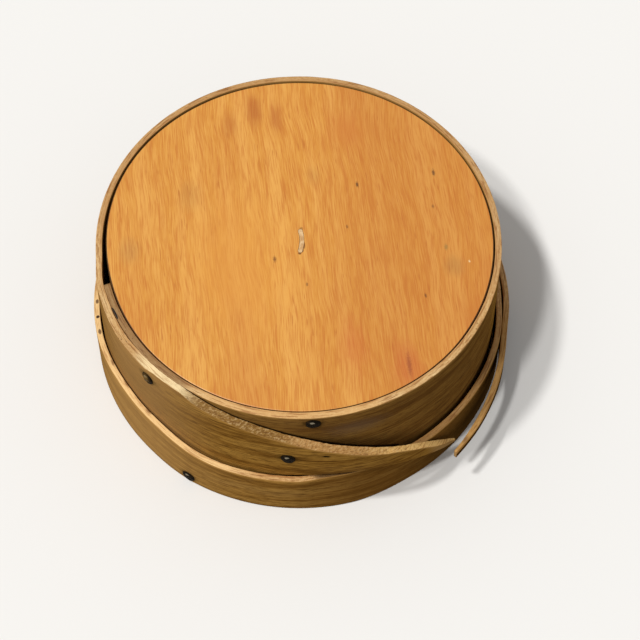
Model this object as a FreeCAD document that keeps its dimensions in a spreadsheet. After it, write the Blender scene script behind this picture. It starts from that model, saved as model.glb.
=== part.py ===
import FreeCAD, Part
import math
import os

from FreeCAD import Placement, Rotation, Vector

# Round bentwood pantry box, stood upside down in its own lid.
#
# Frame: +Z up, origin on the floor under the middle of the lid. The lid lies board down, and the
# box stands on it with its bottom board on top. Azimuths are in degrees from +X, seen from above.
# Each band is one thin strip bent into a spiral. "turn" is the azimuth unrolled along such a strip,
# so that it runs past 360 where the strip laps over itself.

# Driving dimensions, in millimetres.
SIZES = {
    # the box
    "box_radius": (69.0, "middle of the band's single ply"),
    "band_height": (52.0, "width of the strip, from the mouth to the bottom's edge"),
    "body_ply": (2.2, "thickness of the box's strip"),
    "lap_gap": (0.15, "air between two lapped plies"),
    "lap_bulge": (0.25, "how far the outer ply lifts just past the inner end"),
    "band_swell": (0.65, "band out of round at the back left"),
    "lap_tuck": (1.1, "how far the inner ply is pulled in under the lap"),
    "finger_gap": (0.6, "air between the lap's finger and the outside of the lid"),
    "finger_creep": (0.75, "how much further the finger's tip has sprung"),
    "finger_crest": (18.5, "highest point of the finger's lower edge, above the mouth"),
    "finger_tip_low": (3.8, "lower corner of the finger's tip, above the mouth"),
    "finger_tip_high": (5.2, "upper corner of the finger's tip, above the mouth"),
    "knife_bevel": (2.8, "height of the knife cut along the finger's upper edge"),
    "worn_bevel": (2.4, "height of the worn corner where the outer ply begins"),
    "edge_bevel": (0.3, "height difference across a plain edge"),
    "board_thick": (10.0, "bottom board"),
    "board_gap": (0.4, "dark line between board and band"),
    "board_swell": (0.55, "board out of round at the back left"),
    "rim_inset": (0.3, "bottom board below the band's edge"),
    "board_round": (0.5, "rounding of the bottom board's edges"),
    "plug_length": (9.6, "sliver let into the middle of the bottom board"),
    "plug_width": (1.5, "its width"),
    "plug_bend": (15.0, "radius that it is bent to"),
    "plug_play": (0.1, "air around it"),
    "plug_offset": (1.0, "its distance from the axis"),
    # the lid
    "lid_height": (21.5, "width of the lid's strip"),
    "lid_ply": (2.1, "thickness of the lid's strip"),
    "lid_play": (0.3, "least air between box and lid"),
    "lid_belly": (0.75, "lid band out of round at the front"),
    "lid_lean": (1.2, "upper edge leaning in where the lap's finger crosses it"),
    "lid_draw": (0.35, "lid band pulled in beside the lap's finger"),
    "lid_slack": (0.6, "lid's outer ply off its inner ply where it leaves it"),
    "lid_spring": (8.3, "how far the tip of the lid's loose end stands out"),
    "lid_tip_drop": (2.0, "upper edge of the loose end's tip, below the lid's edge"),
    "lid_tip_rise": (15.8, "lower edge of the loose end's tip, above the floor"),
    "lid_board_thick": (6.0, "lid board"),
    "lid_board_gap": (0.25, "air between lid board and lid band"),
    # iron nails and tacks
    "nail_length": (14.0, "shank of a board nail"),
    "shank_radius": (1.0, "shank under the head"),
    "point_radius": (0.5, "shank at its point"),
    "head_radius": (2.75, "nail head"),
    "head_height": (0.8, "crown of the head above the wood"),
    "head_seat": (0.05, "underside of a head off the curved wood"),
    "hole_play": (0.05, "air around a shank"),
    "clinch_length": (3.2, "tack's point folded over inside"),
    "clinch_radius": (0.55, "folded point"),
    "tack_hole": (0.75, "radius of the empty tack hole"),
}

# Where the strips lap, taper and spring, as azimuths or unrolled turns in degrees.
FULL_TURN = 360.0
STATION_STEP = 3.0          # spacing of the stations that a strip's edges pass through
LONGEST_SPAN = 60.0         # longest stretch of strip made as one face

BODY_START = 195.0          # square-cut inner end of the box's strip, at the left
BODY_CLIMB = 11.0           # the strip climbs over its own inner end in this many degrees
BODY_TIP = 316.0            # tip of the lap's finger, at the front right
BULGE_SPAN = 30.0           # length of the lifted stretch past the inner end
TUCK_END = 320.0            # azimuth where the tucked-in inner ply is back on its circle
SWELL_AT = 143.0            # middle of the band's swell
SWELL_HALF = 60.0           # half its length
BOARD_EASE = 45.0           # the board follows the tuck over this stretch before the inner end
WORN_END = 222.0            # worn corner of the outer ply ends here
KNIFE_START = 236.0         # first cut of the finger, on both edges
FINGER_LIFT = 256.0         # the finger leaves the inner ply here
FINGER_CREST = 285.0        # its lower edge is highest here
KNIFE_FLAT = 302.0          # the bevel of its upper edge has run out here
FINGER_OUT = 304.0          # and here it is outside the lid

LID_END = 32.0              # inner end of the lid's strip, at the back right
LID_TIP = 311.0             # tip of the lid's loose end, at the front right
LID_TUCK_FROM = 342.0       # the lid's inner ply draws in from here...
LID_TUCK_TO = 362.0         # ...to here, to make room for the outer ply
LID_CLIMB = 34.0            # the lid's strip climbs over its inner end in this many degrees
LID_SEATED_TO = 14.0        # its outer ply lies tight as far as this azimuth
LID_SLACK_AT = -5.0         # and has come off by its slack here
LID_SPRING_AT = -8.0        # the loose end starts to spring away
LID_SPRING_SOFT = 5.0       # softness of that bend
LID_UNDERCUT = -5.0         # the loose end's lower edge starts to rise
LID_UNDERCUT_FULL = -38.0   # and is highest from here on
BELLY_FROM = (222.0, 242.0) # the lid's band swells out over this stretch...
BELLY_TO = (283.0, 303.0)   # ...and is drawn in again over this one
LEAN_FROM = (269.0, 279.0)  # its upper edge leans in over this stretch, and is upright after BELLY_TO

TIP_SPAN = 12.0             # both loose ends are thinned over this stretch
TIP_THIN = 0.35             # by this share of the ply
KNIFE_EASE = 6.0            # stretch over which an edge's bevel changes
KNIFE_STRAIGHT = 0.56       # share of the finger's cut that runs straight down to its tip
KNIFE_POWER = 4             # the rest of it bends down with this power

# Nails and tacks: azimuth, and height as a share of what they are driven through. A board nail
# counts from the middle of its board, a lap tack from the lower edge of its strip.
BOARD_NAILS = ((224.7, -0.20), (274.1, 0.13), (20.0, -0.03), (88.0, 0.05), (152.0, -0.07))
LAP_TACK = (267.2, 0.542)
EMPTY_TACK_HOLE = (277.4, 0.602)
LID_NAILS = ((238.5, 0.05), (52.0, 0.0), (110.0, 0.04), (170.0, -0.02))
LID_TACKS = ((20.0, 0.44), (25.0, 0.74))


def make_sheet(doc):
    """Spreadsheet with one aliased cell for each driving dimension."""
    sheet = doc.addObject("Spreadsheet::Sheet", "Sizes")
    for row, (alias, (value, meaning)) in enumerate(SIZES.items(), start=1):
        sheet.set(f"A{row}", meaning)
        sheet.set(f"B{row}", str(value))
        sheet.setAlias(f"B{row}", alias)
    doc.recompute()
    return sheet


doc = FreeCAD.newDocument("PantryBox")
sheet = make_sheet(doc)


def size(alias):
    """Value of a driving dimension, read from the sheet."""
    return float(sheet.get(alias))


def bind(feature, **bindings):
    """Bind properties of a feature to expressions over the sheet's aliases."""
    for name, expression in bindings.items():
        feature.setExpression(name, expression)


# Levels, from the floor up.
MOUTH = size("lid_board_thick")
RIM = MOUTH + size("band_height")
BOARD_TOP = RIM - size("rim_inset")
LAP_PITCH = size("body_ply") + size("lap_gap")
LID_PITCH = size("lid_ply") + size("lap_gap")


def ramp(value, start, end):
    """Smooth step from 0 at start to 1 at end; start may be the larger one."""
    share = min(max((value - start) / (end - start), 0.0), 1.0)
    return share * share * (3.0 - 2.0 * share)


def swell_share(azimuth):
    """Share of the swell at an azimuth: a cosine hump round SWELL_AT."""
    away = abs(azimuth % FULL_TURN - SWELL_AT)
    if away >= SWELL_HALF:
        return 0.0
    return math.cos(math.radians(90.0 * away / SWELL_HALF)) ** 2


def tuck_share(azimuth):
    """Share of the tuck under the lap: all of it at the inner end, none at TUCK_END."""
    along = (azimuth - BODY_START) / (TUCK_END - BODY_START)
    return 1.0 - along * along if 0.0 <= along <= 1.0 else 0.0


def thinned(turn, tip):
    """Share of the full ply that is left near a loose end."""
    return 1.0 - TIP_THIN * (1.0 - ramp(abs(turn - tip), 0.0, TIP_SPAN))


# ---- the box's strip -------------------------------------------------------------------------

BODY_END = BODY_TIP + FULL_TURN
BODY_LAP = BODY_START + FULL_TURN


def body_single(azimuth):
    """Mid-ply radius of the strip's first turn."""
    return (size("box_radius") + size("band_swell") * swell_share(azimuth)
            - size("lap_tuck") * tuck_share(azimuth))


LAP_OUTER = body_single(BODY_START) + LAP_PITCH + size("body_ply") / 2 + size("lap_bulge")
LID_BASE = LAP_OUTER + size("lid_play") + size("lid_ply") / 2
LID_TUCKED = size("box_radius") + size("body_ply") / 2 + size("lid_play") + size("lid_ply") / 2
LID_RIGHT = LID_BASE - size("lid_draw")
FINGER_CLEAR = LID_RIGHT + size("lid_ply") / 2 + size("finger_gap") + size("body_ply") / 2


def body_mid(turn):
    """Mid-ply radius all along the box's strip, the lap and its sprung finger included."""
    if turn < BODY_LAP - BODY_CLIMB:
        return body_single(turn)
    azimuth = turn - FULL_TURN
    if turn < BODY_LAP:
        before = body_single(turn)
        seated = body_single(BODY_START) + LAP_PITCH
        return before + (seated - before) * ramp(azimuth, BODY_START - BODY_CLIMB, BODY_START)
    seated = body_single(azimuth) + LAP_PITCH
    if azimuth < BODY_START + BULGE_SPAN:
        wave = math.sin(math.pi * (azimuth - BODY_START) / BULGE_SPAN)
        return seated + size("lap_bulge") * wave * wave
    free = FINGER_CLEAR + size("finger_creep") * max(
        0.0, (azimuth - FINGER_OUT) / (BODY_TIP - FINGER_OUT))
    return seated + (free - seated) * ramp(azimuth, FINGER_LIFT, FINGER_OUT)


def body_thick(turn):
    """Ply thickness along the box's strip."""
    return size("body_ply") * thinned(turn, BODY_END)


def body_low(turn):
    """Lower edge: the mouth, then the finger's long cut up to its crest and down to the tip."""
    azimuth = turn - FULL_TURN
    if azimuth <= KNIFE_START:
        return MOUTH
    if azimuth <= FINGER_CREST:
        share = (azimuth - KNIFE_START) / (FINGER_CREST - KNIFE_START)
        return MOUTH + size("finger_crest") * math.sin(math.pi / 2 * share)
    share = (azimuth - FINGER_CREST) / (BODY_TIP - FINGER_CREST)
    fall = size("finger_crest") - size("finger_tip_low")
    return MOUTH + size("finger_crest") - fall * (1.0 - math.cos(math.pi / 2 * share))


def body_top_in(turn):
    """Inner corner of the upper edge: the rim, then the finger's cut down to its tip."""
    azimuth = turn - FULL_TURN
    if azimuth <= KNIFE_START:
        return RIM
    share = (azimuth - KNIFE_START) / (BODY_TIP - KNIFE_START)
    drop = RIM - MOUTH - size("finger_tip_high")
    return RIM - drop * (KNIFE_STRAIGHT * share + (1.0 - KNIFE_STRAIGHT) * share ** KNIFE_POWER)


def body_bevel(turn):
    """Height difference across the upper edge."""
    azimuth = turn - FULL_TURN
    plain = size("edge_bevel")
    worn = (size("worn_bevel") - plain) * (
        ramp(azimuth, BODY_START - BODY_CLIMB, BODY_START) - ramp(azimuth, WORN_END, WORN_END + KNIFE_EASE))
    knife = (size("knife_bevel") - plain) * (
        ramp(azimuth, KNIFE_START, KNIFE_START + KNIFE_EASE) - ramp(azimuth, FINGER_CREST, KNIFE_FLAT))
    return plain + worn + knife


def body_lean(turn):
    """How far the upper edge leans in: the box's strip is upright."""
    return 0.0


# ---- the lid's strip -------------------------------------------------------------------------

LID_START = LID_TIP - 2 * FULL_TURN
LID_LAP = LID_END - FULL_TURN


def lid_round(azimuth):
    """Mid-ply radius of the lid's strip without its belly; azimuth from its lap up to LID_END + 360."""
    draw = size("lid_draw") * ramp(azimuth, *BELLY_TO)
    tucked = (LID_RIGHT - LID_TUCKED) * ramp(azimuth, LID_TUCK_FROM, LID_TUCK_TO)
    return LID_BASE - draw - tucked


def lid_single(azimuth):
    """Mid-ply radius of the lid's strip before it laps over its inner end."""
    return lid_round(azimuth) + size("lid_belly") * (ramp(azimuth, *BELLY_FROM) - ramp(azimuth, *BELLY_TO))


def lid_mid(turn):
    """Mid-ply radius all along the lid's strip; turn falls from the inner end to the loose end."""
    if turn > LID_LAP:
        azimuth = turn + FULL_TURN
        if azimuth < LID_END + LID_CLIMB:
            seated = LID_TUCKED + LID_PITCH
            return LID_BASE + (seated - LID_BASE) * ramp(azimuth, LID_END + LID_CLIMB, LID_END)
        return lid_single(azimuth)
    azimuth = turn + FULL_TURN
    slack = size("lid_slack") * ramp(azimuth, LID_SEATED_TO, LID_SLACK_AT)
    reach = LID_SPRING_AT - (LID_TIP - FULL_TURN)
    past = max(0.0, LID_SPRING_AT - azimuth)
    bend = math.hypot(past, LID_SPRING_SOFT) - LID_SPRING_SOFT
    whole = math.hypot(reach, LID_SPRING_SOFT) - LID_SPRING_SOFT
    return LID_TUCKED + LID_PITCH + slack + size("lid_spring") * bend / whole


def lid_thick(turn):
    """Ply thickness along the lid's strip."""
    return size("lid_ply") * thinned(turn, LID_START)


def lid_low(turn):
    """Lower edge: the floor, then the undercut of the loose end."""
    azimuth = turn + FULL_TURN
    if azimuth >= LID_UNDERCUT:
        return 0.0
    share = min(1.0, (azimuth - LID_UNDERCUT) / (LID_UNDERCUT_FULL - LID_UNDERCUT))
    return size("lid_tip_rise") * math.sin(math.pi / 2 * share)


def lid_top_in(turn):
    """Inner corner of the upper edge, a little lower towards the loose tip."""
    azimuth = turn + FULL_TURN
    return size("lid_height") - size("lid_tip_drop") * ramp(azimuth, LID_SEATED_TO, LID_TIP - FULL_TURN)


def lid_bevel(turn):
    """Height difference across the upper edge."""
    return size("edge_bevel")


def lid_lean(turn):
    """How far the upper edge leans in, on the first turn only."""
    if turn <= LID_LAP:
        return 0.0
    azimuth = turn + FULL_TURN
    return size("lid_lean") * (ramp(azimuth, *LEAN_FROM) - ramp(azimuth, *BELLY_TO))


# ---- strips as solids ------------------------------------------------------------------------

def polar(radius, turn, height):
    """Point at a radius, an unrolled azimuth and a height."""
    angle = math.radians(turn)
    return Vector(radius * math.cos(angle), radius * math.sin(angle), height)


def spans(start, end, corners):
    """Turns that split a strip: its ends, its corners and cuts no further apart than a span."""
    marks = sorted({start, end, *(c for c in corners if start < c < end)})
    cuts = [start]
    for low, high in zip(marks, marks[1:]):
        count = max(1, math.ceil((high - low) / LONGEST_SPAN))
        cuts += [low + (high - low) * n / count for n in range(1, count + 1)]
    return list(zip(cuts, cuts[1:]))


def edge_along(corner, first, last):
    """Smooth edge through a corner of the section, from one turn to another."""
    steps = max(3, math.ceil((last - first) / STATION_STEP))
    points = [corner(first + (last - first) * n / steps) for n in range(steps + 1)]
    curve = Part.BSplineCurve()
    curve.interpolate(points)
    return curve.toShape()


def strip_solid(start, end, corners, mid, thick, low, top_in, bevel, lean):
    """Bent strip with a four-cornered section that changes along the spiral."""
    section = (
        lambda t: polar(mid(t) - thick(t) / 2, t, low(t)),
        lambda t: polar(mid(t) + thick(t) / 2, t, low(t)),
        lambda t: polar(mid(t) + thick(t) / 2 - lean(t), t, top_in(t) - bevel(t)),
        lambda t: polar(mid(t) - thick(t) / 2 - lean(t), t, top_in(t)),
    )
    faces = []
    for first, last in spans(start, end, corners):
        edges = [edge_along(corner, first, last) for corner in section]
        for near, far in zip(edges, edges[1:] + edges[:1]):
            faces.append(Part.makeRuledSurface(near, far))
    for turn in (start, end):
        outline = [corner(turn) for corner in section]
        faces.append(Part.Face(Part.makePolygon(outline + outline[:1])))
    shell = Part.Shell(faces)
    shell.sewShape()
    solid = Part.Solid(shell)
    if solid.Volume < 0:
        solid.reverse()
    return solid


def blank(name, shape):
    """Part::Feature that holds a strip before its nail holes are made."""
    feature = doc.addObject("Part::Feature", name)
    feature.Shape = shape
    feature.Placement = Placement()
    return feature


body_blank = blank("BodyStrip", strip_solid(
    BODY_START, BODY_END,
    [TUCK_END, BODY_LAP - BODY_CLIMB, BODY_LAP,
     *(azimuth + FULL_TURN for azimuth in (BODY_START + BULGE_SPAN, KNIFE_START, FINGER_LIFT,
                                           FINGER_CREST, FINGER_OUT))],
    body_mid, body_thick, body_low, body_top_in, body_bevel, body_lean))
lid_blank = blank("LidStrip", strip_solid(
    LID_START, LID_END,
    [LID_LAP, LID_LAP + LID_CLIMB,
     *(azimuth - FULL_TURN for azimuth in (LID_SEATED_TO, LID_SLACK_AT, LID_SPRING_AT, LID_UNDERCUT,
                                           LID_UNDERCUT_FULL, LID_TUCK_FROM, LID_TUCK_TO,
                                           *BELLY_FROM, *LEAN_FROM, *BELLY_TO))],
    lid_mid, lid_thick, lid_low, lid_top_in, lid_bevel, lid_lean))


# ---- boards ----------------------------------------------------------------------------------

def board_radius(azimuth):
    """Outline of the bottom board, which follows the band inside."""
    ease = ramp(azimuth, BODY_START - BOARD_EASE, BODY_START) if azimuth < BODY_START else tuck_share(azimuth)
    return (size("box_radius") - size("body_ply") / 2 - size("board_gap")
            + size("board_swell") * swell_share(azimuth) - size("lap_tuck") * ease)


def lid_board_radius(azimuth):
    """Outline of the lid board: it follows the band inside, but not out into its belly."""
    if azimuth > LID_END + LID_CLIMB:
        middle = lid_round(azimuth)
    else:
        eased = ramp(azimuth, LID_END, LID_END + LID_CLIMB)
        middle = lid_round(azimuth + FULL_TURN) * (1.0 - eased) + LID_BASE * eased
    return middle - size("lid_ply") / 2 - size("lid_board_gap")


def origin_plane(body, role):
    """One of a body's own origin planes."""
    return next(o for o in body.Origin.OriginFeatures if o.Role == role)


def add_sketch(body, name, curves):
    """Sketch of the given curves on the body's own XY plane."""
    sketch = body.newObject("Sketcher::SketchObject", name)
    sketch.AttachmentSupport = [(origin_plane(body, "XY_Plane"), "")]
    sketch.MapMode = "FlatFace"
    for curve in curves:
        sketch.addGeometry(curve, False)
    return sketch


def closed_outline(radius_at):
    """Closed smooth outline from a radius that depends on azimuth."""
    count = round(FULL_TURN / STATION_STEP)
    points = [polar(radius_at(FULL_TURN * n / count), FULL_TURN * n / count, 0.0) for n in range(count)]
    curve = Part.BSplineCurve()
    curve.interpolate(points, PeriodicFlag=True)
    return curve


def make_board(name, radius_at, thickness, level):
    """Board body: outline padded upwards from the level that an expression gives."""
    body = doc.addObject("PartDesign::Body", name)
    pad = body.newObject("PartDesign::Pad", name + "Pad")
    pad.Profile = add_sketch(body, name + "Outline", [closed_outline(radius_at)])
    bind(pad, Length=thickness)
    body.Tip = pad
    bind(body, **{".Placement.Base.z": level})
    doc.recompute()
    return body, pad


def sliver_outline(margin):
    """Curved sliver: two concentric arcs and two round ends, grown by a margin."""
    bend = size("plug_bend")
    half_width = size("plug_width") / 2 + margin
    half_angle = (size("plug_length") - size("plug_width")) / 2 / bend
    centre = Vector(size("plug_offset") - bend, 0, 0)
    up = Vector(0, 0, 1)
    curves = [Part.ArcOfCircle(Part.Circle(centre, up, bend + side * half_width), -half_angle, half_angle)
              for side in (1, -1)]
    for side in (1, -1):
        middle = centre + Vector(bend * math.cos(half_angle), side * bend * math.sin(half_angle), 0)
        start = side * half_angle if side > 0 else math.pi - half_angle
        curves.append(Part.ArcOfCircle(Part.Circle(middle, up, half_width), start, start + math.pi))
    return curves


def outer_edges(shape, levels):
    """Names of the long outline edges that lie flat at one of the levels."""
    names = []
    for number, edge in enumerate(shape.Edges, start=1):
        box = edge.BoundBox
        if box.XLength > shape.BoundBox.XLength / 2 and any(
                abs(box.ZMin - level) + abs(box.ZMax - level) < 1e-6 for level in levels):
            names.append(f"Edge{number}")
    return names


BOARD_LEVEL = "Sizes.lid_board_thick + Sizes.band_height - Sizes.rim_inset - Sizes.board_thick"

bottom_body, bottom_pad = make_board("BottomBoard", board_radius, "Sizes.board_thick", BOARD_LEVEL)
plain_volume = bottom_pad.Shape.Volume

slot = bottom_body.newObject("PartDesign::Pocket", "PlugSlot")
slot.Profile = add_sketch(bottom_body, "PlugSlotOutline", sliver_outline(size("plug_play")))
slot.Type = "Length"
slot.Reversed = True
bind(slot, Length="Sizes.board_thick")
bottom_body.Tip = slot
doc.recompute()
if not slot.Shape.Volume < plain_volume:
    raise RuntimeError("the plug's slot cuts nothing")

rounding = bottom_body.newObject("PartDesign::Fillet", "BottomBoardRounding")
rounding.Base = (slot, outer_edges(slot.Shape, (0.0, size("board_thick"))))
bind(rounding, Radius="Sizes.board_round")
bottom_body.Tip = rounding

lid_board_body, lid_board_pad = make_board(
    "LidBoard", lid_board_radius, "Sizes.lid_board_thick", "0 mm")
lid_rounding = lid_board_body.newObject("PartDesign::Fillet", "LidBoardRounding")
lid_rounding.Base = (lid_board_pad, outer_edges(lid_board_pad.Shape, (0.0,)))
bind(lid_rounding, Radius="Sizes.board_round")
lid_board_body.Tip = lid_rounding

plug = doc.addObject("PartDesign::Body", "CentrePlug")
plug_pad = plug.newObject("PartDesign::Pad", "CentrePlugPad")
plug_pad.Profile = add_sketch(plug, "CentrePlugOutline", sliver_outline(0.0))
bind(plug_pad, Length="Sizes.board_thick")
plug.Tip = plug_pad
bind(plug, **{".Placement.Base.z": BOARD_LEVEL})


# ---- nails and tacks -------------------------------------------------------------------------

def seat(mid, thick, turn, height):
    """Placement on a strip's outer face: +Z squarely out of the wood, +X up."""
    def surface(at):
        return polar(mid(at) + thick(at) / 2, at, height)
    along = surface(turn + 0.5) - surface(turn - 0.5)
    up = Vector(0, 0, 1)
    outward = along.cross(up).normalize()
    return Placement(surface(turn), Rotation(up, outward.cross(up), outward, "ZXY"))


def sunk(item, place):
    """Lay a cone or cylinder inwards from just off the wood, by its own height."""
    doc.recompute()
    item.Placement = place * Placement(Vector(0, 0, size("head_seat") - item.Height.Value), Rotation())
    return item


def shank(name, place, length):
    """Tapering shank of a nail. The length is an expression."""
    item = doc.addObject("Part::Cone", name)
    bind(item, Radius1="Sizes.point_radius", Radius2="Sizes.shank_radius", Height=length)
    return sunk(item, place)


def drill(name, place, radius, depth):
    """Straight hole. The sizes are expressions."""
    item = doc.addObject("Part::Cylinder", name)
    bind(item, Radius=radius, Height=depth)
    return sunk(item, place)


def crown(name, place):
    """Low head of a hand-made nail: half an ellipsoid."""
    item = doc.addObject("Part::Ellipsoid", name)
    item.Angle1 = 0
    item.Angle2 = 90
    bind(item, Radius1="Sizes.head_height", Radius2="Sizes.head_radius", Radius3="Sizes.head_radius")
    item.Placement = place * Placement(Vector(0, 0, size("head_seat")), Rotation())
    return item


def folded_point(name, place, depth):
    """Tack's point folded upwards against the inside of the wood, its axis at a depth."""
    item = doc.addObject("Part::Cone", name)
    bind(item, Radius1="Sizes.clinch_radius", Radius2="Sizes.clinch_radius / 2", Height="Sizes.clinch_length")
    item.Placement = place * Placement(Vector(0, 0, -depth), Rotation(Vector(0, 1, 0), 90))
    return item


def fasteners(name, places, length, depth=None):
    """Nails, or tacks whose points fold over at a depth, as separate solids in one group."""
    made = []
    for number, place in enumerate(places, start=1):
        stem = f"{name}{number}"
        pieces = [crown(stem + "Head", place), shank(stem + "Shank", place, length)]
        if depth is not None:
            pieces.append(folded_point(stem + "Point", place, depth))
        nail = doc.addObject("Part::MultiFuse", stem)
        nail.Shapes = pieces
        nail.Refine = False
        made.append(nail)
    group = doc.addObject("Part::Compound", name)
    group.Links = made
    return group


def drills(name, places, length):
    """Holes for a group of nails: their shanks with some air all round."""
    group = doc.addObject("Part::Compound", name)
    group.Links = [
        drill(f"{name}{number}", place, NAIL_HOLE, length + " + Sizes.hole_play")
        for number, place in enumerate(places, start=1)]
    return group


def cut(name, base, tools):
    """Base with the tools cut out of it one after another."""
    for number, tool in enumerate(tools, start=1):
        piece = doc.addObject("Part::Cut", name if tool is tools[-1] else f"{name}Step{number}")
        piece.Base = base
        piece.Tool = tool
        base = piece
    return base


def body_seat(azimuth, height, on_lap):
    """Seat on the outside of the box, on the outer ply where on_lap says so."""
    first_turn = azimuth > BODY_START and not on_lap
    return seat(body_mid, body_thick, azimuth if first_turn else azimuth + FULL_TURN, height)


board_middle = BOARD_TOP - size("board_thick") / 2
board_seats = [body_seat(azimuth, board_middle + share * size("board_thick"), azimuth < KNIFE_START)
               for azimuth, share in BOARD_NAILS]
tack_seat, lost_seat = (body_seat(azimuth, MOUTH + share * size("band_height"), True)
                        for azimuth, share in (LAP_TACK, EMPTY_TACK_HOLE))
lid_seats = [seat(lid_mid, lid_thick, azimuth - FULL_TURN, (0.5 + share) * size("lid_board_thick"))
             for azimuth, share in LID_NAILS]
lid_tack_seats = [seat(lid_mid, lid_thick, azimuth - FULL_TURN, share * size("lid_height"))
                  for azimuth, share in LID_TACKS]

tack_depth = (body_mid(LAP_TACK[0] + FULL_TURN) - body_single(LAP_TACK[0]) + size("body_ply")
              + size("clinch_radius") + size("head_seat"))
TACK_LENGTH = f"{tack_depth}"
LID_TACK_LENGTH = "2 * Sizes.lid_ply + Sizes.lap_gap - Sizes.hole_play"
NAIL_HOLE = "Sizes.shank_radius + Sizes.hole_play"

board_nails = fasteners("BoardNails", board_seats, "Sizes.nail_length")
lap_tack = fasteners("LapTack", [tack_seat], TACK_LENGTH, tack_depth)
lid_nails = fasteners("LidNails", lid_seats, "Sizes.nail_length")
lid_tacks = fasteners("LidTacks", lid_tack_seats, LID_TACK_LENGTH)

board_drills = drills("BoardNailHoles", board_seats, "Sizes.nail_length")
lap_drill = drill("LapTackHole", tack_seat, NAIL_HOLE, TACK_LENGTH)
lid_drills = drills("LidNailHoles", lid_seats, "Sizes.nail_length")
lid_lap_drills = drills("LidTackHoles", lid_tack_seats, LID_TACK_LENGTH)
lost_tack_hole = drill("LostTackHole", lost_seat, "Sizes.tack_hole", "Sizes.body_ply + Sizes.lap_gap")

body_band = cut("BodyBand", body_blank, [board_drills, lap_drill, lost_tack_hole])
bottom_board = cut("BottomBoardNailed", bottom_body, [board_drills])
lid_band = cut("LidBand", lid_blank, [lid_drills, lid_lap_drills])
lid_board = cut("LidBoardNailed", lid_board_body, [lid_drills])

NODES = {
    "body_band": body_band,
    "bottom_board": bottom_board,
    "centre_plug": plug,
    "body_board_nails": board_nails,
    "body_lap_tack": lap_tack,
    "lid_band": lid_band,
    "lid_board": lid_board,
    "lid_board_nails": lid_nails,
    "lid_lap_tacks": lid_tacks,
}


# ---- checks and files ------------------------------------------------------------------------

def check_document():
    """Stop at anything that failed to build."""
    doc.recompute()
    for item in doc.Objects:
        if "Invalid" in item.State or "Error" in item.State:
            raise RuntimeError(f"{item.Name} failed: {item.State}")
    for name, item in NODES.items():
        if item.Shape.isNull() or not item.Shape.isValid():
            raise RuntimeError(f"{name} has no valid shape")


def write_nodes():
    """Label each sub-part with its node's name and write its STEP file."""
    os.makedirs("parts", exist_ok=True)
    for name, item in NODES.items():
        item.Label = name
        item.Shape.exportStep(f"parts/{name}.step")
        print(f"{name}: {len(item.Shape.Solids)} solids, {item.Shape.Volume:.1f} mm3")


check_document()
write_nodes()
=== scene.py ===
"""Looks of a round bentwood pantry box that stands upside down in its own lid."""
import logging
import math
from dataclasses import dataclass
from enum import Enum
from typing import Any, Callable, Sequence, Union

import bmesh
import bpy
from mathutils import Matrix, Vector, noise


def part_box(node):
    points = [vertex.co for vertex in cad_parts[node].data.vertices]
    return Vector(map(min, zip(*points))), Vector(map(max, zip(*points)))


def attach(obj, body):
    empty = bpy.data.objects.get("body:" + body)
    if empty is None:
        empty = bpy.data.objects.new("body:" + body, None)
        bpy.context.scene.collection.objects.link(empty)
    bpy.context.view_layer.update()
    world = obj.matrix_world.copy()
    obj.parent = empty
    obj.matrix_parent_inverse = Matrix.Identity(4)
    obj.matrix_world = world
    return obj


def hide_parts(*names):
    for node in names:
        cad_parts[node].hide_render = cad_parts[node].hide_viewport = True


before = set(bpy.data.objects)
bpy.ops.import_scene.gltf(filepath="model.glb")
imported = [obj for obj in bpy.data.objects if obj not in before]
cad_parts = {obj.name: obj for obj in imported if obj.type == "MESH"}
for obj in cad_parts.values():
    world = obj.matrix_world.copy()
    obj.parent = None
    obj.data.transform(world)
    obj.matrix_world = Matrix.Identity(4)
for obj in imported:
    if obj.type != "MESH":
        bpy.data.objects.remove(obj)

Chip = tuple[int, int, int]         # red, green and blue of a paint chip, each from 0 to 255
Point = tuple[float, float, float]
Span = tuple[float, float]          # start and end of a smooth step

LOG = logging.getLogger("pantry_box")
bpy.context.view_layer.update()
FULL_TURN = 360.0
NOMINAL_RADIUS = 0.0700     # unrolled lengths are measured on it
BELOW = "below_edge"        # layer with each point's distance under its strip's upper edge
SEAM = "above_seam"         # layer with its distance above an edge that lies against it
NO_SEAM = -1.0
RUB_AND_GLINT = "crown"             # layer that is 1 on a nail head's rubbed crown with its painted highlight, and 0 past it
# Colour of the painted shade, with dirt, in the gap behind the box's finger.
SEAM_SHADE_AND_DIRT: Chip = (24, 13, 6)
VARNISH_IOR = 1.46
ALONG_STRIP = 90.0          # direction of a strip's grain on its own map
SPECK = 0.0015              # a board's stains under this radius are broken up by finer noise


def tone(chip: Chip) -> tuple[float, ...]:
    """Colour of a paint chip as a shader takes it.

    Args:
        chip: the chip.

    Returns:
        Its linear red, green and blue, and an alpha of 1.
    """
    def linear(light: int) -> float:
        """Linear share of one part of the colour, by the sRGB curve."""
        share = light / 255
        return share / 12.92 if share <= 0.04045 else ((share + 0.055) / 1.055) ** 2.4
    return (*(linear(light) for light in chip), 1.0)


def part(value: float, start: float, end: float) -> float:
    """Share of the way from start to end."""
    return (value - start) / (end - start)


def blend(first: float, second: float, share: float) -> float:
    """Number between two others."""
    return first * (1.0 - share) + second * share


def ramp(value: float, start: float, end: float) -> float:
    """Smooth step.

    Args:
        value: where to read the step.
        start: where the step is 0; it may lie above end.
        end: where the step is 1.

    Returns:
        The step's height, from 0 to 1.
    """
    share = min(max(part(value, start, end), 0.0), 1.0)
    return share * share * (3.0 - 2.0 * share)


def plateau(value: float, rise: Span, fall: Span) -> float:
    """Smooth step up over one span and down again over another."""
    return ramp(value, *rise) - ramp(value, *fall)


def unrolled(turn: float, height: float) -> Point:
    """Place on a strip's own map of a turn in degrees and a height in metres."""
    return math.radians(turn) * NOMINAL_RADIUS, height, 0.0


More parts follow.
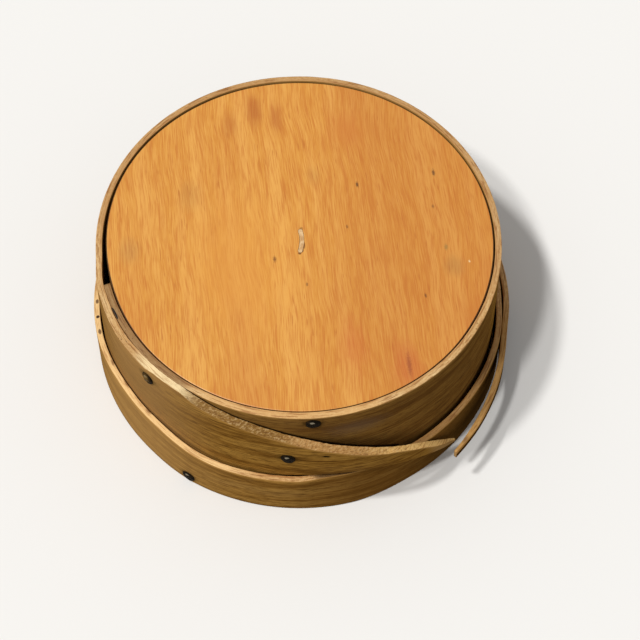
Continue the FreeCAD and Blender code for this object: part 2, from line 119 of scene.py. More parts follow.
def around(turn: float, radius: float, height: float) -> Vector:
    """Point at a turn in degrees, a radius and a height."""
    angle = math.radians(turn)
    return Vector((radius * math.cos(angle), radius * math.sin(angle), height))


def linked(name: str, data: bpy.types.ID) -> bpy.types.Object:
    """New object of the scene, at the origin, that holds a mesh, lamp or camera."""
    made = bpy.data.objects.new(name, data)
    bpy.context.scene.collection.objects.link(made)
    return made


# ---- shaders -----------------------------------------------------------------------------------


def math_method(operation: str, flipped: bool = False) -> Callable[["Value", "Operand"], "Value"]:
    """Method of a value that adds a Math node.

    Args:
        operation: what the node works out.
        flipped: whether the other operand comes first.

    Returns:
        The method.
    """
    def method(self: "Value", other: "Operand") -> "Value":
        """Work out the operation on this value and another."""
        first, second = (other, self) if flipped else (self, other)
        return self.graph.node("ShaderNodeMath", {"operation": operation}, {0: first, 1: second})
    return method


class Value:
    """Number socket of a shader that stands in Python expressions."""

    __add__ = __radd__ = math_method("ADD")
    __sub__ = math_method("SUBTRACT")
    __rsub__ = math_method("SUBTRACT", flipped=True)
    __mul__ = __rmul__ = math_method("MULTIPLY")
    largest = math_method("MAXIMUM")

    def __init__(self, graph: "Graph", socket: bpy.types.NodeSocket) -> None:
        """Keep the socket and the graph that it belongs to."""
        self.graph = graph
        self.socket = socket

    def step(self, low: float, high: float) -> "Value":
        """Smooth step.

        Args:
            low: where it is 0; this may be the larger one.
            high: where it is 1.

        Returns:
            The step as a value.
        """
        flipped = low > high
        inputs = {"Value": self, "From Min": min(low, high), "From Max": max(low, high),
                  "To Min": float(flipped), "To Max": float(not flipped)}
        return self.graph.node("ShaderNodeMapRange", {"interpolation_type": "SMOOTHSTEP"}, inputs)


Operand = Union[Value, float]


class Graph:
    """Node tree of one material, with a Principled shader at its end."""

    def __init__(self, name: str) -> None:
        """Start a material with nothing but its shader and output.

        Args:
            name: the material's name.
        """
        self.material = bpy.data.materials.new(name)
        self.material.use_nodes = True
        self.tree = self.material.node_tree
        self.tree.nodes.clear()
        self.shader = self.tree.nodes.new("ShaderNodeBsdfPrincipled")
        output = self.tree.nodes.new("ShaderNodeOutputMaterial")
        self.tree.links.new(self.shader.outputs[0], output.inputs["Surface"])

    def feed(self, socket: bpy.types.NodeSocket, value: Any) -> None:
        """Link a value into a socket, or set a constant on it.

        Args:
            socket: the socket.
            value: the value or the constant, which for a colour is a paint chip.
        """
        if isinstance(value, Value):
            self.tree.links.new(value.socket, socket)
        else:
            socket.default_value = tone(value) if socket.type == "RGBA" else value

    def node(self, kind: str, settings: dict[str, Any], inputs: dict[Union[int, str], Any],
             output: Union[int, str] = 0) -> Value:
        """Add a node.

        Args:
            kind: the node's type.
            settings: properties of the node, set first.
            inputs: a value or constant for each named or numbered socket.
            output: the socket to read.

        Returns:
            That output as a value.
        """
        made = self.tree.nodes.new(kind)
        for name, setting in settings.items():
            setattr(made, name, setting)
        for key, value in inputs.items():
            self.feed(made.inputs[key], value)
        return Value(self, made.outputs[output])

    def finish(self, **sockets: Any) -> bpy.types.Material:
        """Feed the shader's own sockets.

        Args:
            sockets: a value or constant for each, with an underscore for a space in its name.

        Returns:
            The material.
        """
        for name, value in sockets.items():
            self.feed(self.shader.inputs[name.replace("_", " ")], value)
        return self.material

    def place(self) -> Value:
        """The piece's own coordinates, in metres."""
        return self.node("ShaderNodeTexCoord", {}, {}, "Object")

    def strip_place(self) -> Value:
        """Coordinates of an unrolled strip, in metres: along it, and up it and over its upper edge."""
        return self.node("ShaderNodeUVMap", {"uv_map": "unrolled"}, {})

    def axis(self, vector: Value, name: str) -> Value:
        """One coordinate of a vector."""
        return self.node("ShaderNodeSeparateXYZ", {}, {0: vector}, name)

    def strip_turn(self) -> Value:
        """Turn along a strip, in degrees."""
        return self.axis(self.strip_place(), "X") * math.degrees(1.0 / NOMINAL_RADIUS)

    def layer(self, name: str) -> Value:
        """Number that the mesh holds in a layer."""
        return self.node("ShaderNodeAttribute", {"attribute_name": name}, {}, "Fac")

    def waved(self, vector: Value, amount: float, scale: float) -> Value:
        """A vector that a slow noise pushes sideways along X, by up to half the amount."""
        push = amount * (self.clouds(vector, scale, 1.0) - 0.5)
        offset = self.node("ShaderNodeCombineXYZ", {}, {"X": push})
        return self.node("ShaderNodeVectorMath", {"operation": "ADD"}, {0: vector, 1: offset})

    def stretched(self, vector: Value, scale: Point, turn: float = 0.0, shift: Point = (0, 0, 0)) -> Value:
        """A vector turned about Z by degrees, then shifted, with its axes stretched."""
        turned = self.node("ShaderNodeVectorRotate", {"rotation_type": "Z_AXIS"},
                           {"Vector": vector, "Angle": math.radians(turn)})
        return self.node("ShaderNodeMapping", {}, {"Vector": turned, "Location": shift, "Scale": scale})

    def clouds(self, vector: Value, scale: float, detail: float = 2.0, roughness: float = 0.5,
               distortion: float = 0.0) -> Value:
        """Noise texture, about 0.5 on average."""
        inputs = {"Vector": vector, "Scale": scale, "Detail": detail, "Roughness": roughness,
                  "Distortion": distortion}
        return self.node("ShaderNodeTexNoise", {}, inputs)

    def specks(self, vector: Value, scale: float, size: float) -> Value:
        """Small round specks: 1 in their middles and 0 past their size."""
        cells = self.node("ShaderNodeTexVoronoi", {}, {"Vector": vector, "Scale": scale, "Randomness": 1.0})
        return cells.step(size, 0.4 * size)

    def mix(self, share: Operand, under: Any, over: Any, manner: str = "MIX") -> Value:
        """Colour over colour, by a share."""
        return self.node("ShaderNodeMix", {"data_type": "RGBA", "blend_type": manner},
                         {0: share, 6: under, 7: over}, 2)

    def coated(self, colour: Any, *coats: tuple[Operand, Chip]) -> Value:
        """A colour with others laid over it one after another.

        Args:
            colour: the colour or chip under them.
            coats: share and colour of each coat.

        Returns:
            The colour that is seen.
        """
        for share, coat in coats:
            colour = self.mix(share, colour, coat)
        return colour

    def relief(self, height: Value, depth: float) -> Value:
        """Normal from a height that runs from 0 to 1 over a depth in metres."""
        return self.node("ShaderNodeBump", {}, {"Height": height, "Distance": depth, "Strength": 1.0})


@dataclass(frozen=True)
class Stain:
    """Soft spot on wood.

    Args:
        centre: its middle in the row's frame or on a strip's map, in metres.
        radius: where it has faded out, in metres.
        colour: what it turns the wood to.
        strength: how much of that colour shows at its middle.
        stretch: how much longer it is along the grain than across it.
        torn: how far the wood's own noise breaks up its edge.
        core: share of the radius within which it is full.
    """

    centre: Point
    radius: float
    colour: Chip
    strength: float
    stretch: float = 1.0
    torn: float = 0.9
    core: float = 0.1

    def over(self, graph: Graph, place: Value, ground: Value, turn: float, ragged: Value) -> Value:
        """Lay the stain over a ground colour.

        Args:
            graph: the material's graph.
            place: the wood's own coordinates.
            ground: the colour so far.
            turn: direction of the grain from Y, in degrees.
            ragged: noise that breaks up the stain's edge.

        Returns:
            The colour with the stain on it.
        """
        moved = graph.node("ShaderNodeVectorMath", {"operation": "SUBTRACT"}, {0: place, 1: self.centre})
        squeezed = graph.stretched(moved, (1.0, 1.0 / self.stretch, 1.0), turn)
        away = graph.node("ShaderNodeVectorMath", {"operation": "LENGTH"}, {0: squeezed}, "Value")
        faded = (away + self.radius * self.torn * (ragged - 0.5)).step(self.radius, self.core * self.radius)
        return graph.mix(self.strength * faded, ground, self.colour)


@dataclass(frozen=True)
class Tint:
    """Length of a strip that is paler or darker than the rest, by its wood's tone or by painted light or
    shade.

    Args:
        start: turn where it starts, in degrees.
        end: turn where it ends.
        colour: what it turns the wood to.
        share: how much of that colour shows.
        fade: degrees over which it fades at both ends.
    """

    start: float
    end: float
    colour: Chip
    share: float
    fade: float = 6.0

    def over(self, graph: Graph, turn: Value, ground: Value) -> Value:
        """Lay the tint over a ground colour."""
        inside = turn.step(self.start, self.start + self.fade) * turn.step(self.end, self.end - self.fade)
        return graph.mix(self.share * inside, ground, self.colour)


@dataclass(frozen=True)
class Wood:
    """What all finishes of wood have.

    Args:
        name: the finish's name.
        ground: colour of most of it.
        light: colour of its pale streaks or rubbed spots.
        dark: colour of its dark streaks.
    """

    name: str
    ground: Chip
    light: Chip
    dark: Chip


@dataclass(frozen=True)
class BoardWood(Wood):
    """Planed softwood board with an old varnish, its grain along Y but for a turn.

    Args:
        deep: colour of its pores, and of the side towards +X.
        top: height of its face; its arris and sides just below it get painted shade and dirt.
        dirt: colour of that painted shade and dirt.
        turn: how far the grain is turned, in degrees.
        roughness: mean roughness.
        stains: spots on its face.
    """

    deep: Chip
    top: float
    dirt: Chip = (44, 24, 12)
    turn: float = -6.5
    roughness: float = 0.42
    stains: tuple[Stain, ...] = ()

    def material(self) -> bpy.types.Material:
        """Build the finish.

        Returns:
            The material.
        """
        graph = Graph(self.name)
        place = graph.place()
        wood = graph.waved(place, 0.006, 28.0)

        def grain(stretch: float, scale: float, detail: float = 2.0, roughness: float = 0.6) -> Value:
            """Noise drawn out along the grain."""
            drawn = graph.stretched(wood, (1.0, stretch, 0.4), self.turn)
            return graph.clouds(drawn, scale, detail, roughness)

        bands = grain(0.06, 190.0, roughness=0.5)
        streaks = grain(0.09, 620.0, roughness=0.55)
        flecks = grain(0.05, 1700.0)
        fibres = grain(0.035, 3200.0)
        pores = grain(0.08, 1750.0, 1.0, 0.5)
        blush = graph.clouds(graph.stretched(place, (1.0, 0.5, 1.0), self.turn), 30.0)
        coarse = graph.clouds(graph.stretched(place, (1.0, 0.3, 1.0), self.turn), 300.0, 3.0, 0.65)
        fine = graph.clouds(place, 1800.0, 2.0, 0.6)
        right = (graph.axis(place, "X") + 0.03 * (blush - 0.5)).step(-0.006, 0.034)
        colour = graph.coated(
            self.ground,
            (0.8 * bands.step(0.36, 0.66), self.light),
            (0.5 * streaks.step(0.5, 0.7), self.dark),
            (0.45 * flecks.step(0.46, 0.34), self.light),
            (0.48 * flecks.step(0.52, 0.68), self.dark),
            (0.6 * fibres.step(0.5, 0.64), self.dark),
            (0.5 * fibres.step(0.48, 0.36), self.light),
            (0.6 * pores.step(0.66, 0.78), self.deep),
            (0.6 * blush.step(0.5, 0.7), self.dark),
            (0.34 * right, self.deep))
        for stain in self.stains:
            colour = stain.over(graph, place, colour, self.turn, fine if stain.radius < SPECK else coarse)
        # Painted shade of the gap to the strip, with dirt, on the arris and upper sides; weaker at the
        # front.
        front = graph.axis(place, "Y").step(-0.03, -0.06)
        drop = self.top - graph.axis(place, "Z") + 0.00003 * (fine - 0.5) - 0.0001 * front
        arris_shade_and_dirt = drop.step(0.000004, 0.00003) * drop.step(0.004, 0.003)
        colour = graph.mix(0.9 * arris_shade_and_dirt, colour, self.dirt)
        relief = graph.relief(0.6 * flecks + 0.4 * streaks, 0.00006)
        gloss = self.roughness + 0.18 * (flecks - 0.5) + 0.12 * (blush - 0.5)
        return graph.finish(Base_Color=colour, Roughness=gloss, Normal=relief, IOR=VARNISH_IOR)


@dataclass(frozen=True)
class StripWood(Wood):
    """Face of a bent strip: varnished, with its grain along the strip.

    Args:
        grey: colour of its dull smudges.
        worn: bare wood that shows where the upper edge is rubbed.
        seed: shifts the pattern.
        roughness: mean roughness.
        tints: paler and darker lengths.
        stains: spots, on the strip's own map.
    """

    grey: Chip
    worn: Chip
    seed: float
    roughness: float = 0.5
    tints: tuple[Tint, ...] = ()
    stains: tuple[Stain, ...] = ()

    def material(self) -> bpy.types.Material:
        """Build the finish.

        Returns:
            The material.
        """
        graph = Graph(self.name)
        along = graph.strip_place()
        turn = graph.strip_turn()

        def grain(stretch: float, scale: float, detail: float, roughness: float = 0.6,
                  distortion: float = 0.0) -> Value:
            """Noise drawn out along the strip."""
            place = graph.stretched(along, (stretch, 1.0, 1.0), 0.0, (self.seed, self.seed, 0.0))
            return graph.clouds(place, scale, detail, roughness, distortion)

        bands = grain(0.06, 260.0, 2.0, 0.55, 0.5)
        streaks = grain(0.06, 1200.0, 3.0, 0.6, 0.2)
        fibres = grain(0.09, 2600.0, 2.0)
        grime = grain(0.35, 75.0, 4.0)
        ragged = graph.clouds(along, 900.0, 3.0, 0.6)
        colour = graph.coated(
            self.ground,
            (0.9 * bands.step(0.36, 0.64), self.light),
            (0.6 * streaks.step(0.48, 0.62), self.dark),
            (0.5 * streaks.step(0.46, 0.34), self.light),
            (0.7 * fibres.step(0.5, 0.64), self.dark),
            (0.6 * fibres.step(0.47, 0.34), self.light),
            (0.55 * bands.step(0.5, 0.3), self.dark),
            (0.25 * grime.step(0.52, 0.72), self.grey))
        for tint in self.tints:
            colour = tint.over(graph, turn, colour)
        for stain in self.stains:
            colour = stain.over(graph, along, colour, ALONG_STRIP, ragged)
        rubbed = (graph.layer(BELOW) + 0.0016 * (grime - 0.5)).step(0.0011, 0.0002)
        # Painted shade, with dirt, in the gap behind the box's finger, as deep as the eye sees into it.
        seam = graph.layer(SEAM) + 0.0004 * (ragged - 0.5)
        gap_shade_and_dirt = seam.step(0.0011, 0.0004) * seam.step(-0.003, -0.002)
        colour = graph.coated(colour, (0.85 * rubbed, self.worn), (0.9 * gap_shade_and_dirt, SEAM_SHADE_AND_DIRT))
        relief = graph.relief(0.5 * fibres + 0.5 * streaks, 0.00012)
        gloss = self.roughness + 0.2 * (fibres - 0.5) + 0.15 * (grime - 0.5)
        return graph.finish(Base_Color=colour, Roughness=gloss, Normal=relief, Specular_IOR_Level=0.0)


@dataclass(frozen=True)
class CutEdge(Wood):
    """Knife-cut edge of a strip: dry and pale, streaked along the strip, with open fibres and dirt.

    Args:
        dirt: colour of its specks.
        inner: colour of its inner side.
        top: height of its plain upper edge.
        torn: turns between which the knife has left ridges across it.
        shade: what its growth rings darken it by.
        roughness: its roughness.
        tints: paler and darker lengths.
        stains: spots, on the strip's own map.
    """

    dirt: Chip
    inner: Chip
    top: float
    torn: Span = (0.0, 0.0)
    shade: Chip = (196, 164, 132)
    roughness: float = 0.62
    tints: tuple[Tint, ...] = ()
    stains: tuple[Stain, ...] = ()

    def material(self) -> bpy.types.Material:
        """Build the finish.

        Returns:
            The material.
        """
        graph = Graph(self.name)
        along = graph.strip_place()
        turn = graph.strip_turn()

        def grain(stretch: float, scale: float, roughness: float = 0.6) -> Value:
            """Noise drawn out along the strip."""
            return graph.clouds(graph.stretched(along, (stretch, 1.0, 1.0)), scale, 3.0, roughness)

        streaks = grain(0.08, 1500.0)
        open_grain = grain(0.6, 1300.0, 0.65)
        patches = grain(0.4, 90.0)
        specks = graph.specks(along, 520.0, 0.22)
        inward = graph.axis(along, "Y") + 0.0006 * (patches - 0.5)
        colour = graph.coated(
            self.ground,
            (0.6 * patches.step(0.5, 0.3), self.light),
            (0.55 * open_grain.step(0.5, 0.3), self.light),
            (0.6 * open_grain.step(0.5, 0.7), self.dark),
            (0.65 * streaks.step(0.5, 0.64), self.dark),
            (0.3 * patches.step(0.5, 0.7), self.dark),
            (0.8 * specks * patches.step(0.5, 0.6), self.dirt),
            (0.6 * inward.step(self.top + 0.0009, self.top + 0.0017), self.inner))
        for tint in self.tints:
            colour = tint.over(graph, turn, colour)
        colour = graph.mix(0.6 * streaks.step(0.5, 0.62), colour, self.shade, "MULTIPLY")
        ridges = graph.clouds(graph.stretched(along, (1.0, 0.5, 1.0), 30.0), 1300.0, 3.0, 0.65)
        first, last = self.torn
        hacked = turn.step(first, first + 10.0) * turn.step(last, last - 8.0)
        colour = graph.coated(colour, (0.3 * hacked * ridges.step(0.5, 0.38), self.light),
                              (0.42 * hacked * ridges.step(0.5, 0.64), self.dirt))
        for stain in self.stains:
            colour = stain.over(graph, along, colour, ALONG_STRIP, open_grain)
        relief = graph.relief(0.5 * open_grain + 0.2 * streaks + 0.4 * hacked * (1.0 - ridges), 0.0004)
        return graph.finish(Base_Color=colour, Roughness=self.roughness, Normal=relief,
                            Specular_IOR_Level=0.3)


@dataclass(frozen=True)
class PlugWood(Wood):
    """End of a small wooden plug: dull, greyish and fine-grained."""

    def material(self) -> bpy.types.Material:
        """Build the finish.

        Returns:
            The material.
        """
        graph = Graph(self.name)
        place = graph.place()
        fibres = graph.clouds(graph.stretched(place, (1.0, 0.25, 1.0), 10.0), 2600.0, 2.0, 0.6)
        patches = graph.clouds(place, 420.0)
        colour = graph.coated(self.ground, (patches.step(0.4, 0.62), self.light),
                              (0.5 * fibres.step(0.5, 0.72), self.dark))
        relief = graph.relief(fibres, 0.00008)
        return graph.finish(Base_Color=colour, Roughness=0.5 + 0.15 * fibres, Normal=relief, IOR=VARNISH_IOR)


@dataclass(frozen=True)
class OldIron:
    """Hand-forged iron, dark, with a little rust, rubbed high spots and a painted highlight on each head's
    crown.
    """

    name: str
    dark: Chip
    rust: Chip
    rubbed: Chip
    rub_and_glint_colour: Chip
    stains: tuple[Stain, ...] = ()

    def material(self) -> bpy.types.Material:
        """Build the finish.

        Returns:
            The material.
        """
        graph = Graph(self.name)
        place = graph.place()
        blotches = graph.clouds(place, 700.0, 3.0, 0.6)
        pits = graph.clouds(place, 2600.0, 3.0, 0.65)
        colour = graph.coated(
            self.dark,
            (blotches.step(0.5, 0.68), self.rust),
            (0.25 * pits.step(0.58, 0.72), self.rubbed),
            # Painted highlight, with rubbed metal, on each head's crown.
            ((graph.layer(RUB_AND_GLINT) + 0.4 * (pits - 0.5)).step(0.3, 0.6), self.rub_and_glint_colour))
        for stain in self.stains:
            colour = stain.over(graph, place, colour, 0.0, blotches)
        relief = graph.relief(0.6 * blotches + 0.4 * pits, 0.00022)
        rough = 0.3 + 0.3 * blotches
        return graph.finish(Base_Color=colour, Roughness=rough, Normal=relief, Specular_IOR_Level=0.015)


# ---- bent strips -------------------------------------------------------------------------------


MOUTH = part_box("body_band")[0].z
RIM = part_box("body_band")[1].z
LID_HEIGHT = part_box("lid_band")[1].z
BOARD_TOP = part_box("bottom_board")[1].z
LID_BOARD_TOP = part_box("lid_board")[1].z
LAP_GAP = 0.00015


@dataclass(frozen=True)
class Fit:
    """How the box and its lid fit into each other, in metres."""

    box_ply: float = 0.0022
    lid_ply: float = 0.0021
    radius: float = 0.0690      # of the box, at the middle of its ply
    tuck: float = 0.0011        # how far the box's strip is drawn in under its own lap
    bulge: float = 0.00025      # how far the lap stands off just past the strip's start
    play: float = 0.0003        # gap between the box and its lid
    draw: float = 0.00035       # how far the lid is drawn in where the finger crosses its edge
    finger_gap: float = 0.0006  # between the lid and the box's finger outside it
    dent_starts: Span = (192.0, 215.0)
    dent_ends: Span = (226.0, 250.0)

    def lid_radius(self) -> float:
        """Mid-ply radius of the lid where it just clears the box's lap."""
        lap = self.radius - self.tuck + self.box_ply + LAP_GAP + self.box_ply / 2 + self.bulge
        return lap + self.play + self.lid_ply / 2

    def lid_tucked(self) -> float:
        """Mid-ply radius of the lid where it lies round the box's single ply."""
        return self.radius + self.box_ply / 2 + self.play + self.lid_ply / 2

    def finger_radius(self) -> float:
        """Mid-ply radius of the box's finger where it is outside the lid."""
        return self.lid_radius() - self.draw + self.lid_ply / 2 + self.finger_gap + self.box_ply / 2

    def dented(self, azimuth: float) -> float:
        """Share of the shallow dent that the lid and the box's lap have at the left of the front."""
        return plateau(azimuth, self.dent_starts, self.dent_ends)


FIT = Fit()


@dataclass(frozen=True)
class Tear:
    """Noise that makes an upper edge uneven.

    Args:
        along: how fast it changes along the strip, per degree.
        across: how fast it changes from the outer face to the inner one.
        seed: makes its pattern its own.
        share: how much of the edge's unevenness it is.
    """

    along: float
    across: float
    seed: float
    share: float

    def at(self, turn: float, depth: float) -> float:
        """Its height at a turn and a share of the ply."""
        return self.share * noise.noise(Vector((turn * self.along, depth * self.across, self.seed)))


WAVES = Tear(0.22, 0.8, 3.1, 0.8)
NICKS = Tear(1.7, 3.0, 7.7, 0.45)
RUBBED = Tear(1.1, 2.0, 1.3, 0.175)
SUNK = 0.25                 # how far an uneven edge lies under its plain height, also as a share


@dataclass
class BentStrip:
    """Thin strip bent into a spiral that laps over itself.

    "turn" is the azimuth in degrees, unrolled along the strip. Lengths are in metres.
    """

    face: bpy.types.Material
    edge: bpy.types.Material
    name: str
    ply: float
    start: float                # turn of its low end
    end: float                  # turn of its high end
    ceiling: float              # no roughness of the upper edge goes above it
    rows: int = 14              # of faces, from the lower edge to the upper one
    station: float = 0.0010     # length of a face along the strip
    edge_cuts: int = 3
    rounding: float = 0.0003
    plain_bevel: float = 0.0003
    uneven: float = 0.00014
    tip_span: float = 12.0      # degrees over which it gets thinner towards its loose end
    tip_thin: float = 0.35      # share of the thickness that it loses there
    tip_point: float = 0.0      # share of the rest that is cut away at the very tip
    tip_point_span: float = 4.5
    tip_point_curve: float = 0.8

    def middle(self, turn: float) -> float:
        """Radius of the middle of the ply."""
        raise NotImplementedError

    def low(self, turn: float) -> float:
        """Height of the lower edge."""
        raise NotImplementedError

    def high(self, turn: float) -> float:
        """Height of the upper edge's inner corner."""
        raise NotImplementedError

    def tip(self) -> float:
        """Turn of the loose end."""
        raise NotImplementedError

    def bevel(self, turn: float) -> float:
        """How much lower the upper edge's outer corner is."""
        return self.plain_bevel

    def lean(self, turn: float) -> float:
        """How far inward the upper edge stands from the lower one."""
        return 0.0

    def pinch(self, turn: float, height: float) -> float:
        """How far inward the strip is pressed at a height."""
        return 0.0

    def seam(self, turn: float) -> float:
        """Height of the edge that lies against the outer face, or far below where there is none."""
        return NO_SEAM

    def ragged(self, turn: float) -> float:
        """How uneven the upper edge is."""
        return self.uneven

    def thickness(self, turn: float) -> float:
        """Ply thickness, thinned towards the loose end and cut to a point there.

        Args:
            turn: where along the strip.

        Returns:
            The thickness in metres.
        """
        away = abs(turn - self.tip())
        thinned = self.ply * (1.0 - self.tip_thin * (1.0 - ramp(away, 0.0, self.tip_span)))
        full = min(1.0, away / self.tip_point_span) ** self.tip_point_curve
        return thinned * (1.0 - self.tip_point * (1.0 - full))

    def outer(self, turn: float) -> float:
        """Radius of the outer face."""
        return self.middle(turn) + self.thickness(turn) / 2

    def bent(self, turn: float, level: float, depth: float) -> Vector:
        """Point of the strip.

        Args:
            turn: where along the strip.
            level: share of the strip's height, from 0 to 1.
            depth: share of its thickness, from 0 on the outer face to 1 on the inner one.

        Returns:
            The point in the row's frame.
        """
        drop = self.bevel(turn) * (1.0 - depth)
        low = self.low(turn)
        radius = self.outer(turn) - self.thickness(turn) * depth - self.lean(turn) * level
        height = low + (self.high(turn) - drop - low) * level
        if level == 1.0:
            height += self.ragged(turn) * (WAVES.at(turn, depth) + NICKS.at(turn, depth) - SUNK)
            radius -= self.ragged(turn) * (RUBBED.share + RUBBED.at(turn, depth))
        radius -= self.pinch(turn, height)
        return around(turn, radius, min(height, self.ceiling))

    def build(self) -> bpy.types.Object:
        """Make the strip flat, as a grid with a thickness, and bend it.

        Returns:
            The finished piece.
        """
        length = unrolled(self.end - self.start, 0.0)[0]
        flat = bmesh.new()
        turns = flat.verts.layers.float.new("turn")
        below = flat.verts.layers.float.new(BELOW)
        above = flat.verts.layers.float.new(SEAM)
        bmesh.ops.create_grid(flat, x_segments=round(length / self.station), y_segments=self.rows, size=0.5)
        bmesh.ops.translate(flat, verts=flat.verts, vec=(0.5, 0.5, 0.0))
        pulled = bmesh.ops.extrude_face_region(flat, geom=flat.faces[:])
        inner = [item for item in pulled["geom"] if isinstance(item, bmesh.types.BMVert)]
        bmesh.ops.translate(flat, verts=inner, vec=(0.0, 0.0, 1.0))
        for side in flat.faces:
            heights = {round(vert.co.z) for vert in side.verts}
            side.material_index = int(len(heights) == 2)
        across = [edge for edge in flat.edges if round(abs(edge.verts[0].co.z - edge.verts[1].co.z)) == 1]
        corners = [edge for edge in flat.edges
                   if {face.material_index for face in edge.link_faces} == {0, 1}]
        bmesh.ops.subdivide_edges(flat, edges=across, cuts=self.edge_cuts, use_grid_fill=True)
        for vert in flat.verts:
            turn = self.start + (self.end - self.start) * vert.co.x
            vert[turns] = turn
            vert.co = self.bent(turn, round(vert.co.y, 6), vert.co.z)
            vert[below] = self.high(turn) - self.bevel(turn) - vert.co.z
            vert[above] = vert.co.z - self.seam(turn)
        bmesh.ops.recalc_face_normals(flat, faces=flat.faces)
        bmesh.ops.bevel(flat, geom=corners, offset=self.rounding, offset_type="OFFSET", segments=2,
                        profile=0.5, affect="EDGES", material=-1, clamp_overlap=True)
        self.unroll(flat, turns)
        return finished(self.name, flat, [self.face, self.edge])

    def unroll(self, strip: bmesh.types.BMesh, turns: bmesh.types.BMLayerItem) -> None:
        """Give the strip a map of itself laid flat, in metres, that goes on over its edges.

        Args:
            strip: its bent mesh.
            turns: layer that holds each point's turn.
        """
        layer = strip.loops.layers.uv.new("unrolled")
        for side in strip.faces:
            for corner in side.loops:
                turn = corner.vert[turns]
                height = corner.vert.co.z
                level = part(height, self.low(turn), self.high(turn))
                outer = self.outer(turn) - self.lean(turn) * level - self.pinch(turn, height)
                corner[layer].uv = unrolled(turn, height + outer - corner.vert.co.xy.length)[:2]


def finished(name: str, shape: bmesh.types.BMesh,
             materials: Sequence[bpy.types.Material]) -> bpy.types.Object:
    """Turn a shape into an object of the scene, smooth and at the origin.

    Args:
        name: the piece's name.
        shape: its mesh, which is freed.
        materials: its finishes, in the order of its faces' numbers.

    Returns:
        The object.
    """
    for side in shape.faces:
        side.smooth = True
    mesh = bpy.data.meshes.new(name)
    shape.to_mesh(mesh)
    shape.free()
    for material in materials:
        mesh.materials.append(material)
    return linked(name, mesh)


